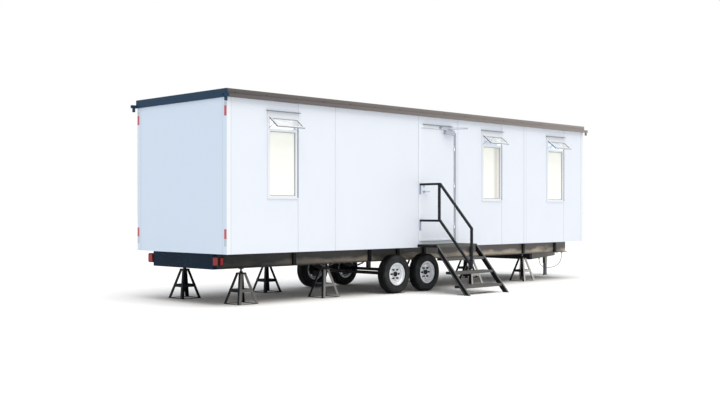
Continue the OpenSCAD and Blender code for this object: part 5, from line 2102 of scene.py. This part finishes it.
@dataclass
class Studio:
    """Pale floor, soft light and the camera.

    Attributes:
        eye: Place of the camera, on the cabin's axes.
        heading: Turn of the camera about the vertical, in degrees.
        lens: Focal length in millimetres.
        sensor: Width of the picture behind the lens, in millimetres.
        shift: Vertical shift of the picture.
        far_end: Distance up to which the camera sees.
        sky: Colour of the light from all round.
        sky_level: Its strength.
        sun: Colour of the main light.
        sun_level: Its strength.
        sun_turn: Turn of the main light, in degrees.
        sun_spread: Apparent size of the main light, in degrees.
        room: Colour of the room's lights.
        room_level: Their strength, in watts.
        room_radius: Radius of one of them.
        room_drop: Distance of the lights from the ceiling.
        room_shares: Places of the lights along the room.
        floor_size: Side of the floor.
        floor_level: Height of the floor, just under the cabin's feet.
        floor: Colour of the floor as the object sees it.
        floor_shown: Colour of the floor as the camera, mirrors and glass see it.
    """

    eye: Triple = (-9.224, -12.06, 1.465)
    heading: float = -45.0
    lens: float = 50.0
    sensor: float = 36.0
    shift: float = 0.0121
    far_end: float = 2000.0
    sky: Color = (0.95, 0.99, 1.03)
    sky_level: float = 0.6
    sun: Color = (1.0, 0.97, 0.93)
    sun_level: float = 2.35
    sun_turn: Triple = (21.0, 0.0, -9.0)
    sun_spread: float = 55.0
    room: Color = (1.0, 0.97, 0.9)
    room_level: float = 60.0
    room_radius: float = 0.25
    room_drop: float = 0.45
    room_shares: Triple = (0.2, 0.5, 0.8)
    floor_size: float = 600.0
    floor_level: float = -0.0005
    floor: Color = (0.8, 0.8, 0.8)
    floor_shown: Color = (0.93, 0.92, 0.91)

    def build(self) -> None:
        """Sets up the studio."""
        bpy.context.scene.view_settings.view_transform = "Standard"
        self.world()
        self.ground()
        self.lamps()
        self.camera()

    @staticmethod
    def shown(graph: Graph) -> Wire:
        """Tells the rays of the camera, mirrors and glass from the light's own.

        Args:
            graph: The graph to work in.

        Returns:
            A mask that is one for the rays that show.
        """
        kinds = ("Is Camera Ray", "Is Glossy Ray", "Is Transmission Ray")
        camera, mirror, glass = (graph.node("ShaderNodeLightPath", output=kind) for kind in kinds)
        return camera.either(mirror).either(glass)

    def world(self) -> None:
        """White to the eye, and a cool even light on the object."""
        world = bpy.data.worlds.new("studio")
        bpy.context.scene.world = world
        world.use_nodes = True
        graph = Graph(world.node_tree)
        cool = {"Color": rgba(self.sky), "Strength": self.sky_level}
        white = {"Color": (1.0, 1.0, 1.0, 1.0), "Strength": 1.0}
        light, shown = (graph.node("ShaderNodeBackground", inputs=values) for values in (cool, white))
        mixed = graph.node("ShaderNodeMixShader", inputs={0: self.shown(graph), 1: light, 2: shown})
        graph.node("ShaderNodeOutputWorld", inputs={"Surface": mixed})

    def ground(self) -> None:
        """Wide pale floor that keeps the shadow."""
        half = self.floor_size / 2
        mesh = bpy.data.meshes.new("studio_floor")
        corners = [(-half, -half), (half, -half), (half, half), (-half, half)]
        mesh.from_pydata([(x, y, self.floor_level) for x, y in corners], [], [(0, 1, 2, 3)])
        material = bpy.data.materials.new("studio_floor")
        material.use_nodes = True
        graph = Graph(material.node_tree)
        color = graph.mix(self.shown(graph), self.floor, self.floor_shown)
        shader = graph.node("ShaderNodeBsdfDiffuse", inputs={"Color": color})
        graph.node("ShaderNodeOutputMaterial", inputs={"Surface": shader})
        mesh.materials.append(material)
        floor = bpy.data.objects.new("studio_floor", mesh)
        bpy.context.scene.collection.objects.link(floor)

    def lamps(self) -> None:
        """One broad light from above the door side, and the room's own ceiling lights."""
        spread = math.radians(self.sun_spread)
        main_light = self.lamp("main_light", Lamp.SUN, self.sun_level, self.sun, spread)
        main_light.rotation_euler = [math.radians(angle) for angle in self.sun_turn]
        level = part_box("roof_panel")[0].z - self.room_drop
        for share in self.room_shares:
            name = f"room_light_{int(share * 10)}"
            light = self.lamp(name, Lamp.POINT, self.room_level, self.room, self.room_radius)
            light.location = Site.at(Site.LENGTH * share, Site.WIDTH / 2, level)

    @staticmethod
    def lamp(name: str, kind: Lamp, level: float, color: Color, spread: float) -> bpy.types.Object:
        """Adds a lamp.

        Args:
            name: The lamp's name.
            kind: Its kind.
            level: Its strength.
            color: Its colour.
            spread: Angle of a sun, or radius of a point lamp.

        Returns:
            The lamp.
        """
        light = bpy.data.lights.new(name, kind.value)
        light.energy = level
        light.color = color
        if kind is Lamp.SUN:
            light.angle = spread
        else:
            light.shadow_soft_size = spread
        made = bpy.data.objects.new(name, light)
        bpy.context.scene.collection.objects.link(made)
        return made

    def camera(self) -> None:
        """Level camera at the rear corner of the door side."""
        data = bpy.data.cameras.new("camera")
        data.lens = self.lens
        data.sensor_width = self.sensor
        data.shift_y = self.shift
        data.clip_end = self.far_end
        eye = bpy.data.objects.new("camera", data)
        eye.location = Site.at(*self.eye)
        eye.rotation_euler = (math.pi / 2, 0.0, math.radians(self.heading))
        bpy.context.scene.collection.objects.link(eye)
        bpy.context.scene.camera = eye


def main() -> None:
    """Builds the studio and every sub-assembly, in order."""
    logging.basicConfig(level=logging.INFO, format="%(message)s")
    parts = (
        Studio(), LightCable(), CabinShell(), RoofEdge(), Windows(), Doorway(), Stairs(), Chassis(),
        RunningGear(), JackStands(),
    )
    for part in parts:
        part.build()


if __name__ == "__main__":
    main()
